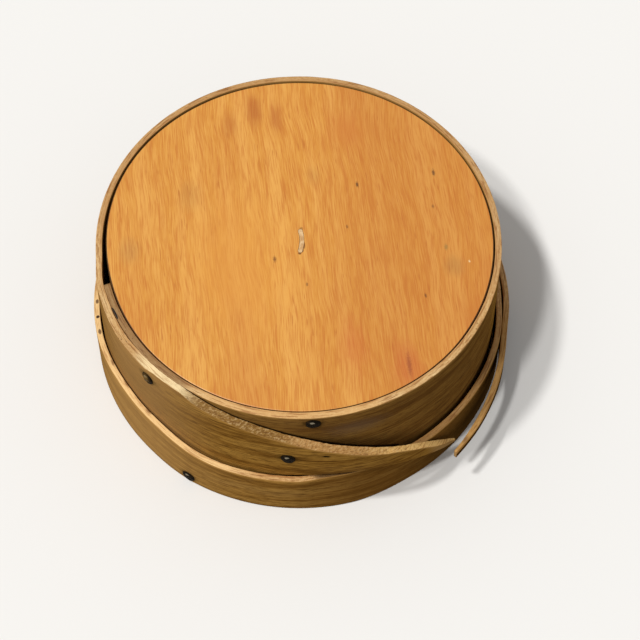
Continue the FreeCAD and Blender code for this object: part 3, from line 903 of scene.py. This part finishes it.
@dataclass
class BoxStrip(BentStrip):
    """The box's strip. Its finger passes over the lid's edge and ends outside it.

    Angles are azimuths in degrees, where the finger's are those of the strip's second turn.
    """

    name: str = "box_strip"
    ply: float = FIT.box_ply
    start: float = 195.0
    end: float = 316.0 + FULL_TURN
    ceiling: float = RIM
    uneven: float = 0.00010
    tip_point: float = 0.7
    torn: float = 0.00045           # how much more uneven the lapped edge is
    torn_full: float = 10.0         # and how far past the start it is fully so
    swell: float = 0.00065          # how far the back stands out
    swell_at: float = 143.0
    swell_half: float = 60.0
    tuck_end: float = 320.0
    climb: float = 11.0             # degrees over which the lap climbs over the strip's start
    bulge_span: float = 30.0
    seam_end: float = 300.0
    seam_slope: float = 1.7         # how steeply the eye looks down into the gap behind the finger
    finger_lift: float = 256.0      # from here the finger springs away
    finger_out: float = 304.0       # and here it is outside the lid
    finger_creep: float = 0.00075   # how much farther out its tip is
    knife_start: float = 236.0
    crest_at: float = 285.0         # where the finger's undercut is highest
    crest: float = 0.0185
    tip_low: float = 0.0038         # heights of the tip's corners over the mouth
    tip_high: float = 0.0052
    knife_straight: float = 0.56    # share of the long cut's fall that is even
    knife_bevel: float = 0.0021
    knife_flat: float = 302.0       # where the knife's bevel has run out
    leaf: float = 0.0010            # bevel of the leaf-shaped tip
    leaf_at: Point = (302.0, 309.0, 316.0)
    worn_bevel: float = 0.0024
    worn_end: float = 222.0
    ease: float = 6.0               # degrees over which a bevel sets in or runs out
    pressed: float = 0.0016         # how far the dent goes in
    pressed_from: Span = (0.0460, 0.0220)

    def tip(self) -> float:
        """The strip's high end is its loose one."""
        return self.end

    def climbing(self) -> Span:
        """Azimuths over which the lap climbs over the strip's start."""
        return self.start - self.climb, self.start

    def single(self, azimuth: float) -> float:
        """Mid-ply radius of the first turn.

        Args:
            azimuth: where along it.

        Returns:
            The radius in metres.
        """
        away = min(abs(azimuth % FULL_TURN - self.swell_at), self.swell_half)
        hump = math.cos(math.radians(90.0 * away / self.swell_half)) ** 2
        along = part(azimuth, self.start, self.tuck_end)
        tucked = 1.0 - along * along if 0.0 <= along <= 1.0 else 0.0
        return FIT.radius + self.swell * hump - FIT.tuck * tucked

    def middle(self, turn: float) -> float:
        """Radius of the middle of the ply, the lap and the sprung finger included.

        Args:
            turn: where along the strip.

        Returns:
            The radius in metres.
        """
        azimuth = turn - FULL_TURN
        if azimuth < self.start - self.climb:
            return self.single(turn)
        seated = self.single(max(azimuth, self.start)) + self.ply + LAP_GAP
        if azimuth < self.start:
            return blend(self.single(turn), seated, ramp(azimuth, *self.climbing()))
        if azimuth < self.start + self.bulge_span:
            return seated + FIT.bulge * math.sin(math.pi * (azimuth - self.start) / self.bulge_span) ** 2
        creep = max(0.0, part(azimuth, self.finger_out, self.end - FULL_TURN))
        free = FIT.finger_radius() + self.finger_creep * creep
        return blend(seated, free, ramp(azimuth, self.finger_lift, self.finger_out))

    def low(self, turn: float) -> float:
        """Lower edge: the mouth, then the finger's undercut up to its crest and down to the tip.

        Args:
            turn: where along the strip.

        Returns:
            The height in metres.
        """
        azimuth = turn - FULL_TURN
        if azimuth <= self.knife_start:
            return MOUTH
        if azimuth <= self.crest_at:
            share = part(azimuth, self.knife_start, self.crest_at)
            return MOUTH + self.crest * math.sin(math.pi / 2 * share)
        down = 1.0 - math.cos(math.pi / 2 * part(azimuth, self.crest_at, self.end - FULL_TURN))
        return MOUTH + self.crest - (self.crest - self.tip_low) * down

    def high(self, turn: float) -> float:
        """Upper edge: the rim, then the finger's long cut down to its tip.

        Args:
            turn: where along the strip.

        Returns:
            The height in metres.
        """
        azimuth = turn - FULL_TURN
        if azimuth <= self.knife_start:
            return RIM
        share = part(azimuth, self.knife_start, self.end - FULL_TURN)
        fall = self.knife_straight * share + (1.0 - self.knife_straight) * share ** 4
        return RIM - (RIM - MOUTH - self.tip_high) * fall

    def bevel(self, turn: float) -> float:
        """Worn corner past the inner end, then the knife's bevel on the finger and its leaf-shaped tip.

        Args:
            turn: where along the strip.

        Returns:
            How much lower the outer corner is, in metres.
        """
        azimuth = turn - FULL_TURN
        worn = plateau(azimuth, self.climbing(), (self.worn_end, self.worn_end + self.ease))
        knife = plateau(azimuth, (self.knife_start, self.knife_start + self.ease),
                        (self.crest_at, self.knife_flat))
        first, full, last = self.leaf_at
        leaf = plateau(azimuth, (first, full), (full, last))
        return (self.plain_bevel + (self.worn_bevel - self.plain_bevel) * worn
                + (self.knife_bevel - self.plain_bevel) * knife + self.leaf * leaf)

    def pinch(self, turn: float, height: float) -> float:
        """The lap is pressed in near the mouth, beside the lid's dent."""
        return self.pressed * FIT.dented(turn % FULL_TURN) * ramp(height, *self.pressed_from)

    def seam(self, turn: float) -> float:
        """The finger's upper edge, as far down in the gap behind it as the eye sees; painted shade lies
        along it.

        Args:
            turn: where along the strip.

        Returns:
            The height in metres.
        """
        if not self.knife_start < turn < self.seam_end:
            return NO_SEAM
        over = turn + FULL_TURN
        gap = max(0.0, self.middle(over) - self.single(turn) - self.ply - FIT.bulge)
        return self.high(over) - self.seam_slope * gap

    def ragged(self, turn: float) -> float:
        """A plain edge is nearly smooth, the lapped and knife-cut one is rough."""
        return self.uneven + self.torn * ramp(turn - FULL_TURN, self.start - self.climb,
                                              self.start + self.torn_full)


@dataclass
class LidStrip(BentStrip):
    """The lid's strip. Its outer ply comes loose at the right and stands out in front.

    Angles are azimuths in degrees, where a negative one is on the loose end.
    """

    name: str = "lid_strip"
    ply: float = FIT.lid_ply
    start: float = 311.0 - 2 * FULL_TURN
    end: float = 32.0
    ceiling: float = LID_HEIGHT
    rows: int = 8
    climb: float = 34.0             # degrees over which the outer ply climbs over the inner end
    belly: float = 0.00075          # how far it stands out in front
    belly_from: Span = (222.0, 242.0)
    belly_to: Span = (283.0, 303.0)
    leaning: float = 0.0012         # how far the upper edge leans in where the finger crosses it
    lean_from: Span = (269.0, 279.0)
    dent: float = 0.0013            # and at the dent
    tuck_at: Span = (342.0, 362.0)  # where it is drawn in to the box's single ply
    slack: float = 0.0006           # gap between the plies before the loose end
    slack_at: Span = (14.0, -5.0)
    spring: float = 0.0083          # how far out the tip stands
    spring_at: float = -8.0
    spring_soft: float = 5.0
    undercut: Span = (-5.0, -38.0)
    tip_rise: float = 0.0158        # how far the undercut lifts the lower edge
    tip_drop: float = 0.0020

    def tip(self) -> float:
        """The strip's low end is its loose one."""
        return self.start

    def sprung(self, past: float) -> float:
        """Soft bend that grows with the degrees past its start."""
        return math.hypot(past, self.spring_soft) - self.spring_soft

    def middle(self, turn: float) -> float:
        """Radius of the middle of the ply, the lap and the loose end included.

        Args:
            turn: where along the strip.

        Returns:
            The radius in metres.
        """
        azimuth = turn + FULL_TURN
        base = FIT.lid_radius()
        tucked = FIT.lid_tucked()
        seated = tucked + self.ply + LAP_GAP
        if azimuth > self.end + self.climb:
            belly = self.belly * plateau(azimuth, self.belly_from, self.belly_to)
            drawn = FIT.draw * ramp(azimuth, *self.belly_to)
            return base + belly - drawn - (base - FIT.draw - tucked) * ramp(azimuth, *self.tuck_at)
        if azimuth > self.end:
            return blend(base, seated, ramp(azimuth, self.end + self.climb, self.end))
        slack = self.slack * ramp(azimuth, *self.slack_at)
        bend = self.sprung(max(0.0, self.spring_at - azimuth))
        whole = self.sprung(self.spring_at - (self.start + FULL_TURN))
        return seated + slack + self.spring * bend / whole

    def low(self, turn: float) -> float:
        """Lower edge: the floor, then the undercut of the loose end."""
        share = min(1.0, max(0.0, part(turn + FULL_TURN, *self.undercut)))
        return self.tip_rise * math.sin(math.pi / 2 * share)

    def high(self, turn: float) -> float:
        """Upper edge, a little lower towards the loose tip."""
        return LID_HEIGHT - self.tip_drop * ramp(turn + FULL_TURN, self.slack_at[0], self.start + FULL_TURN)

    def lean(self, turn: float) -> float:
        """The upper edge leans in at the dent, and where the box's finger crosses it.

        Args:
            turn: where along the strip.

        Returns:
            How far in, in metres.
        """
        if turn <= self.end - FULL_TURN:
            return 0.0
        azimuth = turn + FULL_TURN
        crossed = plateau(azimuth, self.lean_from, self.belly_to)
        return self.leaning * crossed + self.dent * FIT.dented(azimuth)


# ---- nails -------------------------------------------------------------------------------------


UP = Vector((0.0, 0.0, 1.0))
FIRST_SEED = 1.7
NEXT_SEED = 2.9
HALF_STEP = 0.5             # degrees each way between which a face's direction is taken


@dataclass(frozen=True)
class Nail:
    """Hand-made nail or tack: hammered head, tapering shank and, on a tack, a folded point."""

    length: float
    folded: bool = False
    crown: float = 0.0008       # height of the head
    head: float = 0.00275       # its radius
    seat: float = 0.00005       # gap under it
    shank: float = 0.0010       # radius of the shank under the head
    point: float = 0.0005       # and at its other end
    fold: float = 0.0032        # length of a folded point
    fold_radius: float = 0.00055
    rub_and_glint_at: Span = (0.6, 0.1)      # middle of the rubbed crown with its painted highlight, up and sideways, in radii of the head
    rub_and_glint_size: Span = (0.22, 0.6)
    hammered: Point = (900.0, 0.35, 0.2)    # pitch, height and depth of the head's facets
    uneven: Point = (450.0, 0.10, 0.05)     # pitch, width and inset of its rim
    sides: int = 12

    def forge_head(self, group: bmesh.types.BMesh, seed: float) -> list[bmesh.types.BMVert]:
        """Make the hammered head.

        Args:
            group: mesh of all the nails of one kind.
            seed: makes the head's facets its own.

        Returns:
            The head's points.
        """
        crown = group.verts.layers.float[RUB_AND_GLINT]
        head = bmesh.ops.create_uvsphere(group, u_segments=24, v_segments=14, radius=1.0)["verts"]
        # Painted highlight, with rubbed metal: a spot of the crown towards the lamps.
        for vert in head:
            away = math.hypot((vert.co.x - self.rub_and_glint_at[0]) / self.rub_and_glint_size[0],
                              (vert.co.y - self.rub_and_glint_at[1]) / self.rub_and_glint_size[1])
            vert[crown] = max(0.0, 1.0 - away) if vert.co.z > 0.0 else 0.0
        bmesh.ops.scale(group, verts=head, vec=(self.head, self.head, self.crown))
        under = [vert for vert in head if vert.co.z < 0.0]
        bmesh.ops.scale(group, verts=under, vec=(1.0, 1.0, 0.0))
        pitch, high, deep = self.hammered
        rim_pitch, wide, inset = self.uneven
        for vert in head:
            facet = noise.noise(Vector((vert.co.x * pitch + seed, vert.co.y * pitch, seed * 3.3)))
            rim = noise.noise(Vector((vert.co.x * rim_pitch, vert.co.y * rim_pitch + seed, seed)))
            vert.co.z *= 1.0 + high * facet - deep
            vert.co.xy *= 1.0 + wide * rim - inset
        return head

    def cone(self, group: bmesh.types.BMesh, low: float, high: float,
             length: float) -> list[bmesh.types.BMVert]:
        """Closed cone about the middle, from one radius up to another."""
        return bmesh.ops.create_cone(group, cap_ends=True, segments=self.sides, radius1=low, radius2=high,
                                     depth=length)["verts"]

    def add(self, group: bmesh.types.BMesh, place: Matrix, seed: float) -> None:
        """Add the nail to a group.

        Args:
            group: mesh of all the nails of one kind.
            place: seat on the wood, with Z out of it and X up.
            seed: makes each head's facets its own.
        """
        head = self.forge_head(group, seed)
        shank = self.cone(group, self.point, self.shank, self.length)
        bmesh.ops.translate(group, verts=shank, vec=(0.0, 0.0, -self.length / 2))
        made = head + shank
        if self.folded:
            leg = self.cone(group, self.fold_radius, self.fold_radius / 2, self.fold)
            bmesh.ops.rotate(group, verts=leg, cent=(0, 0, 0), matrix=Matrix.Rotation(math.pi / 2, 3, "Y"))
            bmesh.ops.translate(group, verts=leg, vec=(self.fold / 2, 0.0, -self.length))
            made = made + leg
        bmesh.ops.translate(group, verts=made, vec=(0.0, 0.0, self.seat))
        bmesh.ops.transform(group, verts=made, matrix=place)


def seat_on(strip: BentStrip, turn: float, height: float) -> Matrix:
    """Seat of a nail on a strip's outer face.

    Args:
        strip: the strip.
        turn: where along it.
        height: how high.

    Returns:
        A matrix whose Z points squarely out of the wood and whose X points up.
    """
    def surface(at: float) -> Vector:
        """Point of the outer face."""
        return around(at, strip.outer(at), height)
    outward = (surface(turn + HALF_STEP) - surface(turn - HALF_STEP)).cross(UP).normalized()
    axes = Matrix((UP, outward.cross(UP), outward)).transposed().to_4x4()
    return Matrix.Translation(surface(turn)) @ axes


# ---- sub-assemblies ----------------------------------------------------------------------------


class Body(Enum):
    """The two bodies that the lifting joint parts."""

    BOX = "box"
    LID = "lid"


def carry(piece: bpy.types.Object, body: Body, slot: str, *nodes: str) -> None:
    """Let a piece ride on a body in place of its solids, and report it.

    Args:
        piece: the piece.
        body: what it moves with.
        slot: its material slot; not used.
        nodes: the solids that it stands for.
    """
    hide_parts(*nodes)
    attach(piece, body.value)
    LOG.info("%s rides on the %s for %s", piece.name, body.value, ", ".join(nodes))


def dress(node: str, material: bpy.types.Material) -> None:
    """Give a solid that is shown as it is its finish, and report it.

    Args:
        node: the solid's name.
        material: the finish.
    """
    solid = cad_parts[node]
    solid.data.materials.clear()
    solid.data.materials.append(material)
    LOG.info("%s is dressed in %s", node, material.name)


def drive(nail: Nail, seats: Sequence[Matrix], iron: bpy.types.Material, name: str, body: Body,
          node: str) -> None:
    """Drive all nails of one kind into a body, as one piece.

    Args:
        nail: the kind of nail.
        seats: where each one is.
        iron: its finish.
        name: the piece's name.
        body: what they move with.
        node: the solid that they stand for.
    """
    group = bmesh.new()
    group.verts.layers.float.new(RUB_AND_GLINT)
    for number, place in enumerate(seats):
        nail.add(group, place, FIRST_SEED + NEXT_SEED * number)
    bmesh.ops.recalc_face_normals(group, faces=group.faces)
    carry(finished(name, group, [iron]), body, "iron", node)


def board_stains(*rows: Sequence[Any]) -> tuple[Stain, ...]:
    """Stains on the upper board, each from its x and y and what else a stain is given."""
    return tuple(Stain((x, y, BOARD_TOP), *rest) for x, y, *rest in rows)


def strip_stains(base: float, *rows: Sequence[Any]) -> tuple[Stain, ...]:
    """Stains on a strip, each from its turn, its height over a base and what else a stain is given."""
    return tuple(Stain(unrolled(turn, base + height), *rest) for turn, height, *rest in rows)


@dataclass
class Finishes:
    """Every finish of the box and its lid."""

    board: BoardWood = BoardWood(
        "orange_board", (214, 145, 58), (230, 168, 82), (197, 117, 42), (182, 102, 36), BOARD_TOP,
        stains=board_stains(
            (-0.0167, 0.0550, 0.0046, (172, 86, 30), 0.6, 2.2),
            (-0.0083, 0.0517, 0.0040, (176, 90, 32), 0.5, 2.4),
            (-0.0250, 0.0483, 0.0040, (182, 102, 38), 0.5, 2.0),
            (0.0167, 0.0467, 0.0090, (198, 112, 44), 0.5, 1.6),
            (0.0367, -0.0500, 0.0080, (194, 92, 44), 0.5, 1.9),
            (0.0372, -0.0490, 0.0012, (140, 62, 34), 0.6, 6.0),
            (0.0190, -0.0420, 0.0070, (200, 100, 44), 0.4, 2.2),
            (-0.0583, -0.0042, 0.0060, (164, 118, 68), 0.28, 1.3),
            (-0.0383, 0.0183, 0.0060, (172, 122, 66), 0.25, 1.6),
            (0.0533, -0.0100, 0.0050, (150, 104, 54), 0.3, 1.3),
            (0.0050, 0.0267, 0.0040, (172, 122, 62), 0.2, 1.5),
            (-0.0200, -0.0100, 0.0280, (232, 162, 68), 0.4, 1.6),
            (0.0472, 0.0283, 0.0008, (84, 50, 24), 0.85, 2.6),
            (0.0203, 0.0233, 0.0008, (84, 50, 24), 0.85, 2.2),
            (0.0167, 0.0058, 0.0006, (110, 66, 30), 0.7, 2.0),
            (-0.0083, -0.0075, 0.0009, (120, 70, 28), 0.8, 2.2),
            (0.0028, -0.0175, 0.0006, (110, 66, 30), 0.7, 2.0),
            (0.0433, -0.0220, 0.0006, (100, 60, 28), 0.75, 2.2),
            (0.0508, -0.0025, 0.0010, (128, 110, 58), 0.55, 2.0),
            (0.0467, 0.0142, 0.0006, (110, 66, 30), 0.7, 2.0),
            (-0.0517, 0.0517, 0.0005, (246, 220, 170), 0.8, 1.5),
            (0.0587, -0.0083, 0.0005, (246, 220, 170), 0.7, 1.5),
            # The next three are painted shadow of the plug, on the board at its right and lower side.
            (0.0016, -0.0014, 0.0006, (120, 68, 20), 0.95, 4.0, 0.2, 0.5),
            (0.0011, -0.0037, 0.0007, (120, 68, 20), 0.95, 1.8, 0.2, 0.5),
            (0.0003, -0.0050, 0.0008, (120, 68, 20), 0.9, 1.0, 0.3, 0.5),
            (0.0008, 0.0050, 0.0008, (156, 104, 46), 0.7, 1.0, 0.3, 0.5)))
    lid_board: BoardWood = BoardWood(
        "lid_board_wood", (186, 130, 68), (202, 150, 86), (158, 102, 48), (142, 86, 38), LID_BOARD_TOP,
        turn=-12.0)
    box_face: StripWood = StripWood(
        "box_strip_face", (152, 106, 41), (182, 136, 63), (92, 58, 20), (134, 99, 60), (186, 140, 78),
        seed=1.3,
        # Painted light: paler on the left, towards the lamps.
        tints=(Tint(545.0, 612.0, (183, 140, 88), 0.65, 30.0),
               # Painted shade: darker on the first turn's front and right, under the finger.
               Tint(236.0, 345.0, (104, 70, 36), 0.5),
               Tint(665.0, 690.0, (206, 164, 108), 0.6, 5.0)),
        stains=strip_stains(
            0.0,
            (584.7, 0.0510, 0.0038, (72, 62, 26), 0.8, 1.5),
            (274.1, 0.0540, 0.0034, (38, 24, 8), 0.85, 1.6),
            (627.2, 0.0344, 0.0035, (38, 24, 8), 0.85, 1.6),
            # Painted sheen: a greyish patch high on the first turn's face at the front right.
            (286.7, 0.0470, 0.0070, (120, 98, 78), 0.4, 2.2),
            (637.4, 0.0373, 0.0010, (14, 8, 4), 1.0, 2.2)))
    lid_face: StripWood = StripWood(
        "lid_strip_face", (163, 115, 49), (189, 143, 72), (105, 69, 24), (142, 107, 66), (190, 142, 78),
        seed=4.1,
        # Painted light and shade: paler on the left, towards the lamps, and darker on the front and right.
        tints=(Tint(-190.0, -100.0, (194, 150, 92), 0.55, 40.0),
               Tint(-98.0, 40.0, (110, 72, 28), 0.6, 24.0),
               # Painted shadow on the loose end.
               Tint(-418.0, -350.0, (70, 42, 12), 0.85, 8.0)),
        stains=strip_stains(
            0.0,
            (-121.5, 0.0034, 0.0035, (44, 30, 16), 0.85, 1.4),
            # Painted shade, with dirt, low on the wall in the gap behind the loose end.
            (-28.0, 0.0070, 0.0140, (30, 18, 8), 0.8, 3.4, 0.3)))
    box_edge: CutEdge = CutEdge(
        "box_strip_edge", (204, 160, 102), (234, 202, 148), (164, 118, 66), (90, 54, 24), (188, 136, 78),
        RIM, torn=(590.0, 668.0),
        tints=(Tint(188.0, 240.0, (130, 94, 52), 0.7),
               # Painted highlight: paler on the first turn's upper edge at the front.
               Tint(236.0, 300.0, (220, 170, 104), 0.5, 12.0),
               Tint(330.0, 548.0, (176, 126, 72), 0.4, 20.0),
               # Painted highlight, with wear: cream on the lap's upper edge at the front left.
               Tint(577.0, 604.0, (252, 228, 176), 0.7, 7.0),
               Tint(594.0, 634.0, (136, 96, 26), 0.9, 9.0),
               Tint(622.0, 664.0, (186, 136, 72), 0.8, 12.0),
               Tint(644.0, 700.0, (236, 190, 112), 0.8, 14.0)),
        stains=strip_stains(
            RIM,
            # The next three are painted shade in the crack between the two plies at the left.
            (565.0, 0.0023, 0.0006, (8, 5, 3), 1.0, 5.0, 0.2, 0.7),
            (205.0, -0.0001, 0.0006, (8, 5, 3), 1.0, 5.0, 0.2, 0.7),
            (573.0, 0.0024, 0.0005, (26, 16, 8), 0.95, 18.0, 0.4, 0.5)))
    lid_edge: CutEdge = CutEdge(
        "lid_strip_edge", (204, 158, 98), (234, 196, 138), (160, 112, 58), (88, 52, 24), (196, 144, 84),
        LID_HEIGHT,
        # Painted highlight: paler on the upper edge at the left, towards the lamps.
        tints=(Tint(-190.0, -98.0, (248, 208, 144), 0.7, 14.0),
               # Painted shadow of the box's finger, where it crosses over the upper edge.
               Tint(-87.0, -66.0, (112, 76, 28), 0.9, 3.0),
               # Painted shade: darker on the right, away from the lamps.
               Tint(-75.0, -2.0, (164, 116, 56), 0.5, 10.0),
               # Painted shadow on the loose end's edge.
               Tint(-419.0, -360.0, (170, 124, 56), 0.6, 10.0)),
        stains=strip_stains(
            LID_HEIGHT,
            (-177.7, 0.0011, 0.0008, (84, 48, 20), 0.85, 1.3, 0.9, 0.6),
            (-172.7, 0.0010, 0.0009, (58, 32, 12), 1.0, 0.8, 0.9, 0.6),
            (-167.8, 0.0010, 0.0008, (90, 54, 22), 0.85, 1.6, 0.9, 0.6),
            (-157.0, 0.0015, 0.0008, (120, 74, 34), 0.8, 3.0),
            (-149.0, 0.0017, 0.0007, (130, 82, 38), 0.8, 4.0),
            (-138.0, 0.0016, 0.0008, (130, 82, 38), 0.8, 3.0),
            (-404.8, -0.0012, 0.0013, (104, 70, 38), 0.7, 1.6)))
    iron: OldIron = OldIron(
        "old_iron", (22, 17, 11), (44, 31, 17), (92, 80, 60), (138, 128, 108),
        stains=(Stain((-0.0518, -0.0508, 0.0512), 0.0027, (126, 96, 46), 0.95),))
    plug: PlugWood = PlugWood("plug_wood", (202, 156, 102), (226, 188, 138), (140, 98, 58))


@dataclass
class Box:
    """The box itself: strip, bottom board with its plug, nails and a tack.

    A board nail has its azimuth and its height from the board's middle, as a share of the board. The
    tack has its azimuth and its height as a share of the strip's.
    """

    finishes: Finishes
    board_nails: tuple[Span, ...] = (
        (224.7, -0.20), (274.1, 0.13), (20.0, -0.03), (88.0, 0.05), (152.0, -0.07))
    lap_tack: Span = (267.2, 0.542)
    nail_length: float = 0.0140
    nail_crown: float = 0.0012
    board_thick: float = 0.0100
    fold_clear: float = 0.0006

    def board_seats(self, strip: BoxStrip) -> list[Matrix]:
        """Seats of the nails that hold the bottom board.

        Args:
            strip: the box's strip.

        Returns:
            One seat for each nail, on the outermost ply at its azimuth.
        """
        middle = BOARD_TOP - self.board_thick / 2
        seats = []
        for azimuth, share in self.board_nails:
            turn = azimuth if azimuth > strip.knife_start else azimuth + FULL_TURN
            seats.append(seat_on(strip, turn, middle + share * self.board_thick))
        return seats

    def build(self) -> None:
        """Build and dress every piece of the box."""
        strip = BoxStrip(self.finishes.box_face.material(), self.finishes.box_edge.material())
        carry(strip.build(), Body.BOX, "box_strip", "body_band")
        iron = self.finishes.iron.material()
        nail = Nail(self.nail_length, crown=self.nail_crown)
        drive(nail, self.board_seats(strip), iron, "box_board_nails", Body.BOX, "body_board_nails")
        azimuth, share = self.lap_tack
        depth = strip.middle(azimuth + FULL_TURN) - strip.single(azimuth) + strip.ply + self.fold_clear
        place = seat_on(strip, azimuth + FULL_TURN, MOUTH + share * (RIM - MOUTH))
        tack = Nail(depth, folded=True, crown=self.nail_crown)
        drive(tack, [place], iron, "box_lap_tack", Body.BOX, "body_lap_tack")
        dress("bottom_board", self.finishes.board.material())
        dress("centre_plug", self.finishes.plug.material())


@dataclass
class Lid:
    """The lid: strip, board, nails and lap tacks, placed as the box's are."""

    finishes: Finishes
    nails: tuple[Span, ...] = ((238.5, 0.05), (52.0, 0.0), (110.0, 0.04), (170.0, -0.02))
    tacks: tuple[Span, ...] = ((20.0, 0.44), (25.0, 0.74))
    nail_length: float = 0.0140
    board_thick: float = 0.0060

    def build(self) -> None:
        """Build and dress every piece of the lid."""
        strip = LidStrip(self.finishes.lid_face.material(), self.finishes.lid_edge.material())
        carry(strip.build(), Body.LID, "lid_strip", "lid_band")
        iron = self.finishes.iron.material()
        seats = [seat_on(strip, azimuth - FULL_TURN, (0.5 + share) * self.board_thick)
                 for azimuth, share in self.nails]
        drive(Nail(self.nail_length), seats, iron, "lid_nails", Body.LID, "lid_board_nails")
        seats = [seat_on(strip, azimuth - FULL_TURN, share * LID_HEIGHT) for azimuth, share in self.tacks]
        drive(Nail(2 * strip.ply + LAP_GAP), seats, iron, "lid_tacks", Body.LID, "lid_lap_tacks")
        dress("lid_board", self.finishes.lid_board.material())


# ---- studio ------------------------------------------------------------------------------------


@dataclass(frozen=True)
class Lamp:
    """Far soft lamp.

    Args:
        azimuth: where it stands, in degrees from X.
        elevation: how high it stands, in degrees.
        strength: light that falls squarely on a surface, in watts per square metre.
        size: width that it is seen under, in degrees.
    """

    azimuth: float
    elevation: float
    strength: float
    size: float = 5.0

    def hang(self, name: str) -> None:
        """Add the lamp to the scene.

        Args:
            name: the lamp's name.
        """
        lamp = bpy.data.lights.new(name, "SUN")
        lamp.energy = self.strength
        lamp.angle = math.radians(self.size)
        elevation = math.radians(self.elevation)
        to_lamp = around(self.azimuth, math.cos(elevation), math.sin(elevation))
        linked(name, lamp).rotation_euler = to_lamp.to_track_quat("Z", "Y").to_euler()


@dataclass(frozen=True)
class Studio:
    """Plain pale floor just under the lid, two soft lamps at the left, and the camera.

    The camera and reflections see the floor's own colour, and the object gets that of floor_unlit.
    """

    target: Point = (0.007274, -0.015035, 0.0290)
    elevation: float = 59.912
    distance: float = 0.8000
    lens: float = 127.3
    sensor: float = 36.0
    lamps: tuple[Lamp, ...] = (Lamp(224.0, 62.0, 1.15), Lamp(192.0, 65.0, 1.45))
    sky: float = 0.38
    floor: Chip = (236, 234, 230)
    floor_unlit: Chip = (150, 146, 138)
    floor_size: float = 6.0
    floor_roughness: float = 0.8
    floor_drop: float = 0.0001

    def build(self) -> None:
        """Build the floor, the light and the camera."""
        self.lay_floor()
        self.light()
        self.aim_camera()

    def lay_floor(self) -> None:
        """Plain floor just under the lid."""
        shape = bmesh.new()
        bmesh.ops.create_grid(shape, x_segments=1, y_segments=1, size=self.floor_size / 2)
        bmesh.ops.translate(shape, verts=shape.verts, vec=(0.0, 0.0, -self.floor_drop))
        graph = Graph("studio_floor")
        rays = [graph.node("ShaderNodeLightPath", {}, {}, ray)
                for ray in ("Is Camera Ray", "Is Glossy Ray", "Is Transmission Ray")]
        pale = rays[0].largest(rays[1]).largest(rays[2])
        colour = graph.mix(pale, self.floor_unlit, self.floor)
        finish = graph.finish(Base_Color=colour, Roughness=self.floor_roughness)
        finished("studio_floor", shape, [finish])

    def light(self) -> None:
        """Hang the lamps under an even sky."""
        for number, lamp in enumerate(self.lamps):
            lamp.hang(f"studio_lamp_{number}")
        world = bpy.data.worlds.new("studio_sky")
        bpy.context.scene.world = world
        world.use_nodes = True
        background = world.node_tree.nodes["Background"]
        background.inputs["Color"].default_value = tone((255, 255, 255))
        background.inputs["Strength"].default_value = self.sky

    def aim_camera(self) -> None:
        """Camera that looks down at the box from in front."""
        data = bpy.data.cameras.new("studio_camera")
        data.lens = self.lens
        data.sensor_width = self.sensor
        camera = linked("studio_camera", data)
        rise = math.radians(self.elevation)
        back = Vector((0.0, -math.cos(rise), math.sin(rise)))
        camera.location = Vector(self.target) + back * self.distance
        camera.rotation_euler = back.to_track_quat("Z", "Y").to_euler()
        bpy.context.scene.camera = camera


def main() -> None:
    """Build the box, the lid and the studio."""
    logging.basicConfig(level=logging.INFO, format="%(name)s: %(message)s")
    finishes = Finishes()
    for assembly in (Box(finishes), Lid(finishes), Studio()):
        assembly.build()
    bpy.context.scene.view_settings.view_transform = "Standard"


if __name__ == "__main__":
    main()
